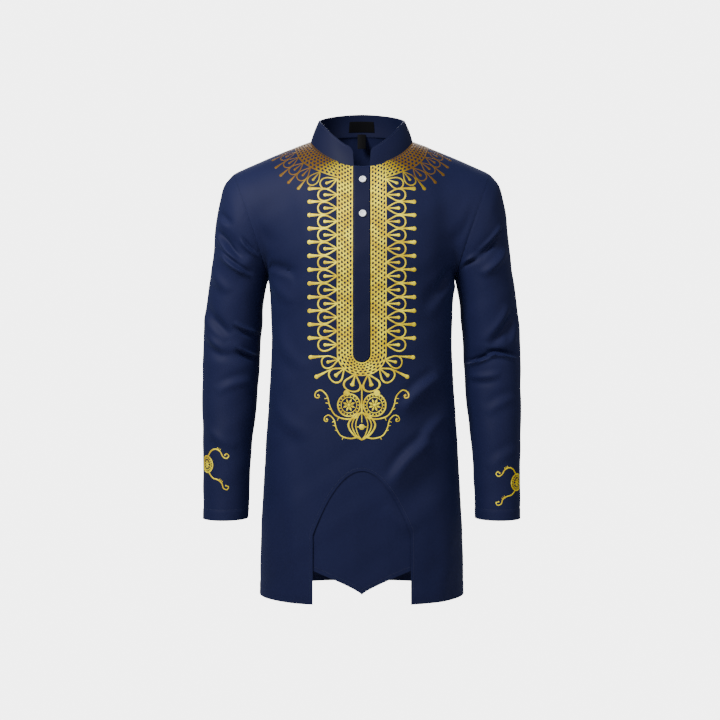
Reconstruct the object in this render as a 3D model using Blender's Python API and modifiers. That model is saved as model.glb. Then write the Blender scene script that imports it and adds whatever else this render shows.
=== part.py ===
# A long-sleeved tunic shirt with a stand collar, filled out as when it is worn.
# Metres. +X is the viewer's right, -Y is the front, +Z is up.
# The origin lies between the two points where the shoulder seams meet the neck.

import math
from collections import namedtuple

import bmesh
import bpy
from mathutils import Vector

for old in list(bpy.data.objects):
    bpy.data.objects.remove(old, do_unlink=True)

# Cloth and seams
CLOTH = 0.0016
BAND = 0.0024
SEAM_GAP = 0.0003
ON_CLOTH = CLOTH + SEAM_GAP

# Neck, shoulders and armholes
NECK_HALF_WIDTH = 0.0935
NECK_FRONT = 0.085
NECK_BACK = 0.068
NECK_DROP = 0.0586
NECK_RISE = 0.022
SHOULDER_HALF_WIDTH = 0.234
SHOULDER_DROP = 0.060
ARMPIT_HEIGHT = -0.250
ARMHOLE_FRONT = 0.078
ARMHOLE_BACK = 0.074
ARMHOLE_GAP = 0.0007
ARMPIT_GAP = 0.0024

# Share of a panel's half that ends at the neck; the rest ends at the shoulder seam
NECK_SHARE = 0.46
# Squareness of the body's sections; 2 is an ellipse
BODY_POWER = 2.25

# Hem, centre panel and its arched cut-away
HEM_HEIGHT = -0.831
ARCH_HALF_WIDTH = 0.0860
ARCH_SPRING = -0.709
ARCH_TOP = -0.597
TAB_LAP = 0.008
TAB_SLACK = 0.0005
TAB_SIDE_HEM = -0.772
TAB_POINT = -0.812

# Placket, buttons and labels
PLACKET_HALF_WIDTH = 0.0137
PLACKET_END = -0.4056
BUTTON_RADIUS = 0.0062
BUTTON_THICKNESS = 0.0026
BUTTON_HEIGHTS = {"button_upper": -0.0850, "button_lower": -0.1470}
BUTTON_X = 0.0015
HOLE_RADIUS = 0.0008
HOLE_REACH = 0.0016

# Mesh density
COLUMNS_FRONT = 34
COLUMNS_BACK = 28
ROWS_UPPER = 10
ROWS_FRONT_BODY = 18
ROWS_BACK_BODY = 14
ROWS_SLEEVE = 24

Section = namedtuple("Section", "z half_width front back")
BODY_SECTIONS = [
    Section(z=-0.831, half_width=0.1870, front=0.131, back=0.114),
    Section(z=-0.760, half_width=0.1860, front=0.129, back=0.113),
    Section(z=-0.680, half_width=0.1830, front=0.127, back=0.113),
    Section(z=-0.600, half_width=0.1785, front=0.124, back=0.111),
    Section(z=-0.520, half_width=0.1735, front=0.121, back=0.105),
    Section(z=-0.440, half_width=0.1685, front=0.119, back=0.099),
    Section(z=-0.370, half_width=0.1655, front=0.119, back=0.098),
    Section(z=-0.310, half_width=0.1670, front=0.121, back=0.105),
    Section(z=-0.250, half_width=0.1715, front=0.125, back=0.116),
]

# A softer line under each panel's top edge: u across, how far ahead of the shoulder seam as a
# share of the neck's depth, and the height at the front and the back
TopLine = namedtuple("TopLine", "u x ahead front back")
SOFT_TOP = [
    TopLine(u=0.00, x=0.000, ahead=1.00, front=-0.0586, back=0.022),
    TopLine(u=0.23, x=0.060, ahead=0.90, front=-0.0420, back=0.014),
    TopLine(u=0.46, x=0.110, ahead=0.55, front=-0.0210, back=-0.005),
    TopLine(u=0.73, x=0.168, ahead=0.18, front=-0.0300, back=-0.030),
    TopLine(u=1.00, x=0.234, ahead=0.00, front=-0.0600, back=-0.060),
]

Ring = namedtuple("Ring", "outer_x outer_z inner_x inner_z half_depth y")
SLEEVE_RINGS = [
    Ring(outer_x=0.2345, outer_z=-0.0600, inner_x=0.1740, inner_z=-0.2480, half_depth=0.0770, y=-0.002),
    Ring(outer_x=0.2520, outer_z=-0.0810, inner_x=0.1765, inner_z=-0.2600, half_depth=0.0770, y=-0.002),
    Ring(outer_x=0.2605, outer_z=-0.1080, inner_x=0.1785, inner_z=-0.2730, half_depth=0.0760, y=-0.001),
    Ring(outer_x=0.2670, outer_z=-0.1450, inner_x=0.1810, inner_z=-0.2890, half_depth=0.0745, y=0.000),
    Ring(outer_x=0.2715, outer_z=-0.1900, inner_x=0.1835, inner_z=-0.3090, half_depth=0.0725, y=0.001),
    Ring(outer_x=0.2780, outer_z=-0.2430, inner_x=0.1850, inner_z=-0.3340, half_depth=0.0700, y=0.002),
    Ring(outer_x=0.2860, outer_z=-0.3000, inner_x=0.1875, inner_z=-0.3660, half_depth=0.0675, y=0.003),
    Ring(outer_x=0.2915, outer_z=-0.3550, inner_x=0.1890, inner_z=-0.4050, half_depth=0.0650, y=0.002),
    Ring(outer_x=0.2930, outer_z=-0.4100, inner_x=0.1915, inner_z=-0.4480, half_depth=0.0615, y=-0.001),
    Ring(outer_x=0.2925, outer_z=-0.4700, inner_x=0.1955, inner_z=-0.4950, half_depth=0.0580, y=-0.007),
    Ring(outer_x=0.2910, outer_z=-0.5300, inner_x=0.2005, inner_z=-0.5430, half_depth=0.0545, y=-0.015),
    Ring(outer_x=0.2895, outer_z=-0.5900, inner_x=0.2040, inner_z=-0.5960, half_depth=0.0510, y=-0.023),
    Ring(outer_x=0.2880, outer_z=-0.6450, inner_x=0.2060, inner_z=-0.6460, half_depth=0.0485, y=-0.029),
    Ring(outer_x=0.2875, outer_z=-0.6900, inner_x=0.2075, inner_z=-0.6900, half_depth=0.0470, y=-0.034),
]

# Degrees round the neck from the centre front, the band's rise there and its lean inwards
Stand = namedtuple("Stand", "degrees rise lean")
COLLAR_STANDS = [
    Stand(degrees=0, rise=0.0310, lean=0.0105),
    Stand(degrees=20, rise=0.0370, lean=0.0115),
    Stand(degrees=35, rise=0.0430, lean=0.0130),
    Stand(degrees=55, rise=0.0460, lean=0.0150),
    Stand(degrees=90, rise=0.0400, lean=0.0155),
    Stand(degrees=135, rise=0.0400, lean=0.0130),
    Stand(degrees=180, rise=0.0410, lean=0.0110),
]
COLLAR_END = math.radians(8.6)
COLLAR_END_FLARE = math.radians(2.4)
COLLAR_CORNER = 0.009

# The largest folds, as seen from the front or the back: each runs from one end to the
# other, height is how far it stands out (below zero, how far it sinks in)
Fold = namedtuple("Fold", "side x0 z0 x1 z1 width height")
BODY_FOLDS = [
    Fold(side="front", x0=0.150, z0=-0.420, x1=0.060, z1=-0.500, width=0.018, height=0.0050),
    Fold(side="front", x0=0.158, z0=-0.455, x1=0.080, z1=-0.530, width=0.020, height=-0.0045),
    Fold(side="front", x0=0.140, z0=-0.530, x1=0.040, z1=-0.630, width=0.020, height=0.0055),
    Fold(side="front", x0=0.150, z0=-0.580, x1=0.060, z1=-0.670, width=0.022, height=-0.0045),
    Fold(side="front", x0=0.168, z0=-0.225, x1=0.120, z1=-0.310, width=0.016, height=-0.0060),
    Fold(side="front", x0=-0.168, z0=-0.235, x1=-0.105, z1=-0.262, width=0.014, height=-0.0040),
    Fold(side="front", x0=-0.130, z0=-0.300, x1=-0.120, z1=-0.520, width=0.030, height=-0.0035),
    Fold(side="front", x0=-0.140, z0=-0.560, x1=-0.100, z1=-0.835, width=0.030, height=0.0040),
    Fold(side="front", x0=0.130, z0=-0.640, x1=0.125, z1=-0.835, width=0.028, height=0.0040),
    Fold(side="back", x0=0.000, z0=-0.330, x1=0.000, z1=-0.835, width=0.034, height=-0.0060),
    Fold(side="back", x0=-0.085, z0=-0.300, x1=-0.070, z1=-0.835, width=0.030, height=0.0055),
    Fold(side="back", x0=0.085, z0=-0.320, x1=0.075, z1=-0.835, width=0.030, height=0.0055),
    Fold(side="back", x0=-0.165, z0=-0.240, x1=-0.090, z1=-0.330, width=0.020, height=-0.0060),
    Fold(side="back", x0=0.165, z0=-0.240, x1=0.085, z1=-0.345, width=0.020, height=-0.0060),
    Fold(side="back", x0=-0.120, z0=-0.420, x1=0.110, z1=-0.405, width=0.016, height=-0.0035),
]
SLEEVE_FOLDS = [
    Fold(side="front", x0=-0.255, z0=-0.175, x1=-0.205, z1=-0.225, width=0.013, height=-0.0060),
    Fold(side="front", x0=-0.250, z0=-0.205, x1=-0.212, z1=-0.250, width=0.014, height=0.0045),
    Fold(side="front", x0=-0.275, z0=-0.330, x1=-0.228, z1=-0.380, width=0.014, height=-0.0045),
    Fold(side="front", x0=-0.190, z0=-0.398, x1=-0.282, z1=-0.388, width=0.012, height=-0.0055),
    Fold(side="front", x0=0.255, z0=-0.175, x1=0.205, z1=-0.225, width=0.013, height=-0.0060),
    Fold(side="front", x0=0.250, z0=-0.205, x1=0.212, z1=-0.250, width=0.014, height=0.0045),
    Fold(side="front", x0=0.275, z0=-0.330, x1=0.228, z1=-0.380, width=0.014, height=-0.0045),
    Fold(side="front", x0=0.190, z0=-0.398, x1=0.282, z1=-0.388, width=0.012, height=-0.0055),
    Fold(side="back", x0=-0.270, z0=-0.170, x1=-0.205, z1=-0.250, width=0.014, height=-0.0060),
    Fold(side="back", x0=-0.285, z0=-0.352, x1=-0.195, z1=-0.378, width=0.013, height=-0.0050),
    Fold(side="back", x0=-0.285, z0=-0.405, x1=-0.200, z1=-0.410, width=0.013, height=-0.0045),
    Fold(side="back", x0=0.270, z0=-0.170, x1=0.205, z1=-0.250, width=0.014, height=-0.0060),
    Fold(side="back", x0=0.285, z0=-0.352, x1=0.195, z1=-0.378, width=0.013, height=-0.0050),
    Fold(side="back", x0=0.285, z0=-0.405, x1=0.200, z1=-0.410, width=0.013, height=-0.0045),
]


def ease(share):
    """0 to 1 with a level start and end."""
    share = min(max(share, 0.0), 1.0)
    return share * share * (3 - 2 * share)


def read_table(table, key, name, at):
    """One column of a table at a value of its key column, on a smooth curve through its rows."""
    keys = [getattr(row, key) for row in table]
    values = [getattr(row, name) for row in table]
    return smooth_curve(keys, values, at)


def smooth_curve(keys, values, at):
    last = len(keys) - 1
    at = min(max(at, keys[0]), keys[last])
    i = max(j for j in range(last) if keys[j] <= at)
    span = keys[i + 1] - keys[i]
    share = (at - keys[i]) / span

    def slope(j):
        before, after = max(j - 1, 0), min(j + 1, last)
        return (values[after] - values[before]) / (keys[after] - keys[before])

    start, end = slope(i) * span, slope(i + 1) * span
    rise = values[i + 1] - values[i]
    return (
        values[i]
        + start * share
        + (3 * rise - 2 * start - end) * share**2
        + (start + end - 2 * rise) * share**3
    )


def fold_height(folds, side, x, z):
    """How far the folds of one side stand out at a place, seen from that side."""
    total = 0.0
    for fold in folds:
        if fold.side != side:
            continue
        run = Vector((fold.x1 - fold.x0, fold.z1 - fold.z0))
        reach = Vector((x - fold.x0, z - fold.z0))
        along = reach.dot(run) / run.length_squared
        if along <= 0 or along >= 1:
            continue
        across = (reach - run * along).length / fold.width
        taper = math.sin(math.pi * along) ** 0.7
        total += fold.height * taper * math.exp(-across * across)
    return total


def body_point(side, u, z):
    """Mid-surface of a panel under the armpits: u runs from -1 to 1 between the side seams."""
    facing = -1 if side == "front" else 1
    half_width = read_table(BODY_SECTIONS, "z", "half_width", z)
    depth = read_table(BODY_SECTIONS, "z", side, z)
    share = math.sin(u * math.pi / 2)
    bulge = (1 - abs(share) ** BODY_POWER) ** (1 / BODY_POWER)
    x = half_width * share
    fade = min(1.0, (1 - abs(u)) / 0.15)
    relief = fold_height(BODY_FOLDS, side, x, z) * fade
    return Vector((x, facing * (depth * bulge + relief), z))


def neck_point(side, turn):
    """The neck seam: turn is 0 at the centre and a quarter circle at the shoulder seam."""
    across, ahead = math.sin(turn), max(math.cos(turn), 0.0)
    if side == "front":
        return Vector((NECK_HALF_WIDTH * across, -NECK_FRONT * ahead, -NECK_DROP * ahead**1.4))
    return Vector((NECK_HALF_WIDTH * across, NECK_BACK * ahead, NECK_RISE * ahead**1.2))


def top_point(side, u):
    """The top edge of a panel, which is the neck seam and then the shoulder seam."""
    sign = math.copysign(1, u)
    if abs(u) <= NECK_SHARE:
        return neck_point(side, u / NECK_SHARE * math.pi / 2)
    share = (abs(u) - NECK_SHARE) / (1 - NECK_SHARE)
    x = NECK_HALF_WIDTH + (SHOULDER_HALF_WIDTH - NECK_HALF_WIDTH) * share
    return Vector((sign * x, 0, -SHOULDER_DROP * share**1.06))


def soft_top_point(side, u, rise):
    """The top edge as a row at this rise is drawn to it: soft low down, true at the top."""
    facing, depth = (-1, NECK_FRONT) if side == "front" else (1, NECK_BACK)
    across, ahead, height = (read_table(SOFT_TOP, "u", name, abs(u)) for name in ("x", "ahead", side))
    soft = Vector((math.copysign(across, u), facing * depth * ahead, height))
    return soft.lerp(top_point(side, u), rise**3)


def armhole_point(side, turn):
    """The armhole on the -X side: turn is 0 at the shoulder and half a circle at the armpit."""
    facing = -1 if side == "front" else 1
    depth = ARMHOLE_FRONT if side == "front" else ARMHOLE_BACK
    power = 1.15 if side == "front" else 0.95
    height = (1 + math.cos(turn)) / 2
    half_width = read_table(BODY_SECTIONS, "z", "half_width", ARMPIT_HEIGHT)
    x = half_width + (SHOULDER_HALF_WIDTH - half_width) * height**power
    y = facing * depth * max(math.sin(turn), 0.0) ** 0.9
    return Vector((-x, y, ARMPIT_HEIGHT - (SHOULDER_DROP + ARMPIT_HEIGHT) * height))


def upper_base(side, u, rise):
    """A panel over the armpits before its edges are drawn out to the armholes."""
    low = body_point(side, u, ARMPIT_HEIGHT)
    high = soft_top_point(side, u, rise)
    climb = math.sin(rise * math.pi / 2)
    roll = (1 - climb * climb) ** 0.77
    x = low.x + (high.x - low.x) * ease(climb)
    z = low.z + (high.z - low.z) * climb
    return Vector((x, high.y + (low.y - high.y) * roll, z))


def upper_point(side, u, rise):
    """Mid-surface of a panel from the armpits up: rise is 0 there and 1 at its top edge."""
    point = upper_base(side, u, rise)
    edge = armhole_point(side, math.pi * (1 - rise)) - upper_base(side, -1, rise)
    sign = -1 if u > 0 else 1
    share = abs(u)
    point += Vector((sign * edge.x * share**3, edge.y * share**2, edge.z * share**4))
    relief = fold_height(BODY_FOLDS, side, point.x, point.z) * (1 - share**6)
    point.y += relief * (-1 if side == "front" else 1) * (1 - rise)
    return point


def panel_point(side, u, v):
    """v is below 0 under the armpits (-1 at the hem) and above 0 over them (1 at the top)."""
    if v < 0:
        return body_point(side, u, ARMPIT_HEIGHT + v * (ARMPIT_HEIGHT - HEM_HEIGHT))
    return upper_point(side, u, v)


def panel_frame(side, u, v):
    """A panel's point with its outward normal."""
    step = 0.004
    across = panel_point(side, min(u + step, 1), v) - panel_point(side, max(u - step, -1), v)
    low, high = max(v - step, -1), min(v + step, 1)
    upwards = panel_point(side, u, high) - panel_point(side, u, low)
    normal = across.cross(upwards)
    if side == "back":
        normal.negate()
    return panel_point(side, u, v), normal.normalized()


def front_at(x, z):
    """The front panel's u and v where its mid-surface passes x and z, by Newton's method."""
    u, v = x / 0.2, (z - ARMPIT_HEIGHT) / 0.3
    if z < ARMPIT_HEIGHT:
        v = (z - ARMPIT_HEIGHT) / (ARMPIT_HEIGHT - HEM_HEIGHT)
    step = 1e-4
    for _ in range(20):
        here = panel_point("front", u, v)
        by_u = (panel_point("front", u + step, v) - here) / step
        by_v = (panel_point("front", u, v + step) - here) / step
        miss_x, miss_z = x - here.x, z - here.z
        area = by_u.x * by_v.z - by_v.x * by_u.z
        u += (miss_x * by_v.z - by_v.x * miss_z) / area
        v += (by_u.x * miss_z - miss_x * by_u.z) / area
        u, v = min(max(u, -0.95), 0.95), min(max(v, -0.9999), 0.9999)
    return u, v


def off_front(x, z, lift):
    """A point over or under the front panel, moved along the panel's normal."""
    point, normal = panel_frame("front", *front_at(x, z))
    return point + normal * lift


def sleeve_point(along, turn):
    """Mid-surface of the -X sleeve: along counts table rows, turn goes from the top to the front."""
    rows = range(len(SLEEVE_RINGS))
    row = Ring(*(smooth_curve(rows, [ring[i] for ring in SLEEVE_RINGS], along) for i in range(6)))
    outer = Vector((-row.outer_x, row.y, row.outer_z))
    inner = Vector((-row.inner_x, row.y, row.inner_z))
    middle, reach = (outer + inner) / 2, (outer - inner) / 2
    point = middle + reach * math.cos(turn) + Vector((0, -row.half_depth * math.sin(turn), 0))
    cap = 1 - along / 5
    if cap > 0:
        point += armhole_pull(turn) * cap**2
    return point


def armhole_pull(turn):
    """From the first ring of the table to the armhole's seam line, with the seam gap."""
    first = SLEEVE_RINGS[0]
    outer = Vector((-first.outer_x, first.y, first.outer_z))
    inner = Vector((-first.inner_x, first.y, first.inner_z))
    middle, reach = (outer + inner) / 2, (outer - inner) / 2
    ring = middle + reach * math.cos(turn) + Vector((0, -first.half_depth * math.sin(turn), 0))
    if turn <= math.pi:
        seam = armhole_point("front", turn)
    else:
        seam = armhole_point("back", 2 * math.pi - turn)
    low = ((1 - math.cos(turn)) / 2) ** 4
    gap = ARMHOLE_GAP + (ARMPIT_GAP - ARMHOLE_GAP) * low
    return seam + Vector((-gap, 0, 0.0012 * low)) - ring


def sleeve_surface(mirror, along, turn):
    """A sleeve's point with its folds; mirror is 1 for the -X sleeve and -1 for the other."""
    step = 0.02
    point = sleeve_point(along, turn)
    last = len(SLEEVE_RINGS) - 1
    downwards = sleeve_point(min(along + step, last), turn) - sleeve_point(max(along - step, 0), turn)
    normal = downwards.cross(sleeve_point(along, turn + step) - point).normalized()
    side = "front" if normal.y < 0 else "back"
    relief = fold_height(SLEEVE_FOLDS, side, mirror * point.x, point.z)
    point += normal * relief * ease(abs(normal.y) * 1.6) * ease(along / 1.5)
    return Vector((mirror * point.x, point.y, point.z))


def collar_point(turn, share):
    """Mid-surface of the collar: turn is 0 at the centre front, share 1 at its top edge."""
    side = "front" if abs(turn) <= math.pi / 2 else "back"
    quarter = abs(turn) if side == "front" else math.pi - abs(turn)
    base = neck_point(side, quarter)
    if turn < 0:
        base.x = -base.x
    degrees = abs(math.degrees(turn))
    rise = read_table(COLLAR_STANDS, "degrees", "rise", degrees)
    lean = read_table(COLLAR_STANDS, "degrees", "lean", degrees)
    outwards = Vector((base.x, base.y * 1.2, 0)).normalized()
    foot = CLOTH / 2 + SEAM_GAP + 0.0005
    bow = 0.0012 * math.sin(math.pi * share)
    base += Vector((0, 0, foot + rise * share))
    return base + outwards * (bow - lean * share)


def collar_columns():
    """Turns of the collar's columns, closer at its rounded front corners."""
    corner = [0.0, 0.06, 0.2, 0.42, 0.7, 1.0]
    reach = COLLAR_CORNER / NECK_FRONT
    ends = [COLLAR_END + reach * share for share in corner]
    middle_count = 34
    span = 2 * math.pi - 2 * ends[-1]
    middle = [ends[-1] + span * i / middle_count for i in range(1, middle_count)]
    turns = ends + middle + [2 * math.pi - turn for turn in reversed(ends)]
    return [turn if turn <= math.pi else turn - 2 * math.pi for turn in turns]


def corner_share(turn):
    """How much of the collar's height its rounded front corner leaves."""
    in_from_end = max((abs(turn) - COLLAR_END) * NECK_FRONT, 0.0)
    if in_from_end >= COLLAR_CORNER:
        return 1.0
    drop = COLLAR_CORNER - math.sqrt(COLLAR_CORNER**2 - (COLLAR_CORNER - in_from_end) ** 2)
    return 1 - drop / 0.034


def make_material(name, colour, roughness, metallic=0.0):
    material = bpy.data.materials.new(name)
    material.use_nodes = True
    shader = material.node_tree.nodes["Principled BSDF"]
    shader.inputs["Base Color"].default_value = (*colour, 1)
    shader.inputs["Roughness"].default_value = roughness
    shader.inputs["Metallic"].default_value = metallic
    return material


NAVY = (0.016, 0.026, 0.082)
WHITE = (0.85, 0.85, 0.83)
BLACK = (0.008, 0.008, 0.009)


def new_collection(name, hidden=False):
    collection = bpy.data.collections.new(name)
    collection.hide_render = hidden
    bpy.context.scene.collection.children.link(collection)
    return collection


shirt = new_collection("tunic_shirt")
cutters = new_collection("cutters", hidden=True)


def add_object(name, mesh, collection):
    obj = bpy.data.objects.new(name, mesh)
    collection.objects.link(obj)
    return obj


def sheet_object(name, rows, thickness, material, closed_round=False):
    """An open surface lofted through rows of points, given its wall by Solidify."""
    mesh = bpy.data.meshes.new(name)
    shape = bmesh.new()
    grid = [[shape.verts.new(point) for point in row] for row in rows]
    for lower, upper in zip(grid, grid[1:]):
        count = len(lower)
        for i in range(count if closed_round else count - 1):
            j = (i + 1) % count
            shape.faces.new((lower[i], lower[j], upper[j], upper[i]))
    shape.to_mesh(mesh)
    shape.free()
    mesh.shade_smooth()
    obj = add_object(name, mesh, shirt)
    mesh.materials.append(material)
    wall = obj.modifiers.new("wall", "SOLIDIFY")
    wall.thickness = thickness
    wall.offset = 0
    return obj


def row_shares(body_rows):
    """The v of each row of a panel, from the hem to the armpits and on to the top edge."""
    below = [-1 + i / body_rows for i in range(body_rows)]
    return below + [i / ROWS_UPPER for i in range(ROWS_UPPER + 1)]


def panel_rows(side, columns, body_rows):
    """Rows of a panel from the hem to its top edge, clear of the other panel by half a seam gap."""
    facing = -1 if side == "front" else 1
    rows = []
    for v in row_shares(body_rows):
        row = []
        for i in range(columns + 1):
            u = -1 + 2 * i / columns
            point = panel_point(side, u, v)
            near_seam = max(0.0, 1 - abs(point.y) / 0.01)
            point.y += facing * SEAM_GAP * near_seam
            row.append(point)
        rows.append(row)
    return rows if side == "front" else [row[::-1] for row in rows]


def make_front():
    rows = panel_rows("front", COLUMNS_FRONT, ROWS_FRONT_BODY)
    front = sheet_object("front", rows, CLOTH, make_material("front_cloth", NAVY, 0.62))
    cutter = arch_cutter()
    cut = front.modifiers.new("arched_cut", "BOOLEAN")
    cut.operation = "DIFFERENCE"
    cut.object = cutter


def arch_height(x):
    """The arch over the centre panel is a parabola."""
    return ARCH_TOP - (ARCH_TOP - ARCH_SPRING) * (x / ARCH_HALF_WIDTH) ** 2


def arch_cutter():
    """A block through the front hem whose top is the arch."""
    steps = 20
    below = HEM_HEIGHT - 0.02
    outline = [(-ARCH_HALF_WIDTH, below)]
    for i in range(steps + 1):
        x = ARCH_HALF_WIDTH * (2 * i / steps - 1)
        outline.append((x, arch_height(x)))
    outline.append((ARCH_HALF_WIDTH, below))
    shape = bmesh.new()
    corners = [shape.verts.new((x, -0.20, z)) for x, z in outline]
    face = shape.faces.new(corners)
    moved = bmesh.ops.extrude_face_region(shape, geom=[face])
    far = [item for item in moved["geom"] if isinstance(item, bmesh.types.BMVert)]
    bmesh.ops.translate(shape, verts=far, vec=(0, 0.19, 0))
    bmesh.ops.recalc_face_normals(shape, faces=shape.faces)
    mesh = bpy.data.meshes.new("arch_cutter")
    shape.to_mesh(mesh)
    shape.free()
    cutter = add_object("arch_cutter", mesh, cutters)
    cutter.hide_render = True
    cutter.display_type = "WIRE"
    return cutter


def tab_hem(x):
    """The centre panel's hem falls from its sides and ends in a point."""
    share = abs(x) / ARCH_HALF_WIDTH
    return TAB_POINT + (TAB_SIDE_HEM - TAB_POINT) * share**0.8


def make_front_tab():
    columns, body_rows = 16, 10
    half_width = ARCH_HALF_WIDTH + TAB_LAP
    rows = []
    for j in range(body_rows + 1):
        row = []
        for i in range(columns + 1):
            x = half_width * (2 * i / columns - 1)
            bottom = tab_hem(x)
            top = arch_height(min(abs(x), ARCH_HALF_WIDTH)) + TAB_LAP
            row.append(off_front(x, bottom + (top - bottom) * j / body_rows, -ON_CLOTH - TAB_SLACK))
        rows.append(row)
    sheet_object("front_tab", rows, CLOTH, make_material("front_tab_cloth", NAVY, 0.62))


def make_back():
    rows = panel_rows("back", COLUMNS_BACK, ROWS_BACK_BODY)
    sheet_object("back", rows, CLOTH, make_material("back_cloth", NAVY, 0.62))


def make_sleeve(name, mirror):
    around = 2 * ROWS_UPPER
    last = len(SLEEVE_RINGS) - 1
    rows = []
    for i in range(ROWS_SLEEVE + 1):
        along = last * i / ROWS_SLEEVE
        row = [sleeve_surface(mirror, along, 2 * math.pi * k / around) for k in range(around)]
        rows.append(row if mirror > 0 else row[::-1])
    sheet_object(name, rows, CLOTH, make_material(name + "_cloth", NAVY, 0.62), closed_round=True)


def make_collar():
    levels = [0.0, 0.25, 0.5, 0.75, 1.0]
    rows = []
    for level in levels:
        row = []
        for turn in collar_columns():
            share = level * corner_share(turn)
            flare = COLLAR_END_FLARE * share * max(0.0, 1 - (abs(turn) - COLLAR_END) / 0.5)
            row.append(collar_point(turn + math.copysign(flare, turn), share))
        rows.append(row)
    sheet_object("collar", rows, BAND, make_material("collar_cloth", NAVY, 0.58))


def placket_rows():
    """Rows of the placket from its round end up to the neck seam."""
    columns = 4
    centre = PLACKET_END + PLACKET_HALF_WIDTH
    heights = []
    for i in range(1, 6):
        turn = math.pi / 2 * i / 6
        width = PLACKET_HALF_WIDTH * math.sin(turn)
        heights.append((centre - PLACKET_HALF_WIDTH * math.cos(turn), width))
    top = -NECK_DROP - 0.0022
    panel_heights = [panel_point("front", 0, v).z for v in row_shares(ROWS_FRONT_BODY)]
    straight = [centre] + [z for z in panel_heights if centre + 0.004 < z < top - 0.001] + [top]
    heights += [(z, PLACKET_HALF_WIDTH) for z in straight]
    rows = []
    for z, half_width in heights:
        xs = [half_width * (2 * i / columns - 1) for i in range(columns + 1)]
        rows.append([off_front(x, z, ON_CLOTH) for x in xs])
    return rows


def make_placket():
    sheet_object("placket", placket_rows(), CLOTH, make_material("placket_cloth", NAVY, 0.60))


def make_button(name, height):
    """A turned disc with a sunk centre, cut through by four holes."""
    profile = [
        (0.0, 0.45),
        (0.55, 0.45),
        (0.68, 0.85),
        (0.80, 1.0),
        (0.93, 0.88),
        (1.0, 0.5),
        (0.93, 0.12),
        (0.80, 0.0),
        (0.0, 0.0),
    ]
    mesh = bpy.data.meshes.new(name)
    shape = bmesh.new()
    points = [
        shape.verts.new((BUTTON_RADIUS * radius, 0, BUTTON_THICKNESS * level))
        for radius, level in profile
    ]
    for a, b in zip(points, points[1:]):
        shape.edges.new((a, b))
    shape.to_mesh(mesh)
    shape.free()
    button = add_object(name, mesh, shirt)
    mesh.materials.append(make_material(name + "_resin", WHITE, 0.35))
    turned = button.modifiers.new("turned", "SCREW")
    turned.steps = turned.render_steps = 18
    turned.use_merge_vertices = True
    turned.merge_threshold = 0.0001
    turned.use_normal_calculate = True
    for i in range(4):
        cut = button.modifiers.new("hole", "BOOLEAN")
        cut.operation = "DIFFERENCE"
        cut.object = hole_cutter(f"{name}_hole_{i}", button, math.pi / 4 + i * math.pi / 2)
    lift = ON_CLOTH + CLOTH / 2 + SEAM_GAP
    point, normal = panel_frame("front", *front_at(BUTTON_X, height))
    button.location = point + normal * lift
    button.rotation_euler = normal.to_track_quat("Z", "Y").to_euler()


def hole_cutter(name, button, turn):
    bpy.ops.mesh.primitive_cylinder_add(vertices=6, radius=HOLE_RADIUS, depth=0.01)
    cutter = bpy.context.object
    cutter.name = name
    for collection in list(cutter.users_collection):
        collection.objects.unlink(cutter)
    cutters.objects.link(cutter)
    cutter.parent = button
    cutter.location = (HOLE_REACH * math.cos(turn), HOLE_REACH * math.sin(turn), 0)
    cutter.hide_render = True
    cutter.display_type = "WIRE"
    return cutter


# Bare labels inside the neck, measured from the collar's and the back panel's inner face
Label = namedtuple("Label", "name half_width bottom top wall columns rows")
NECK_LABEL = Label("neck_label", 0.0255, 0.22, 0.70, 0.0010, 6, 2)
SIZE_TAB = Label("size_tab", 0.0078, -0.0200, 0.0080, 0.0010, 2, 4)


def inside_collar(x, share, lift):
    turn = math.pi - math.asin(x / NECK_HALF_WIDTH)
    turn = turn if turn <= math.pi else turn - 2 * math.pi
    point = collar_point(turn, share)
    middle = Vector((0, 0, point.z))
    inwards = (middle - point).normalized()
    return point + inwards * lift


def make_labels():
    rows = []
    lift = BAND / 2 + SEAM_GAP + NECK_LABEL.wall / 2 + 0.0003
    for j in range(NECK_LABEL.rows + 1):
        share = NECK_LABEL.bottom + (NECK_LABEL.top - NECK_LABEL.bottom) * j / NECK_LABEL.rows
        row = []
        for i in range(NECK_LABEL.columns + 1):
            x = NECK_LABEL.half_width * (1 - 2 * i / NECK_LABEL.columns)
            row.append(inside_collar(x, share, lift))
        rows.append(row)
    sheet_object("neck_label", rows, NECK_LABEL.wall, make_material("neck_label_satin", BLACK, 0.45))
    rows = []
    seam = collar_point(math.pi, 0.12)
    for j in range(SIZE_TAB.rows + 1):
        share = j / SIZE_TAB.rows
        drop = (1 - share) * (SIZE_TAB.top - SIZE_TAB.bottom)
        y = seam.y - lift - 0.0004 - 0.004 * (1 - share) ** 1.5
        row = []
        for i in range(SIZE_TAB.columns + 1):
            x = SIZE_TAB.half_width * (1 - 2 * i / SIZE_TAB.columns)
            row.append(Vector((x, y, seam.z - drop)))
        rows.append(row)
    sheet_object("size_tab", rows, SIZE_TAB.wall, make_material("size_tab_satin", BLACK, 0.45))


make_front()
make_front_tab()
make_back()
make_sleeve("sleeve_left", 1)
make_sleeve("sleeve_right", -1)
make_collar()
make_placket()
for button_name, button_height in BUTTON_HEIGHTS.items():
    make_button(button_name, button_height)
make_labels()
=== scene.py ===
import math

import bpy
import numpy as np
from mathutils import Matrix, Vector
from mathutils.bvhtree import BVHTree


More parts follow.
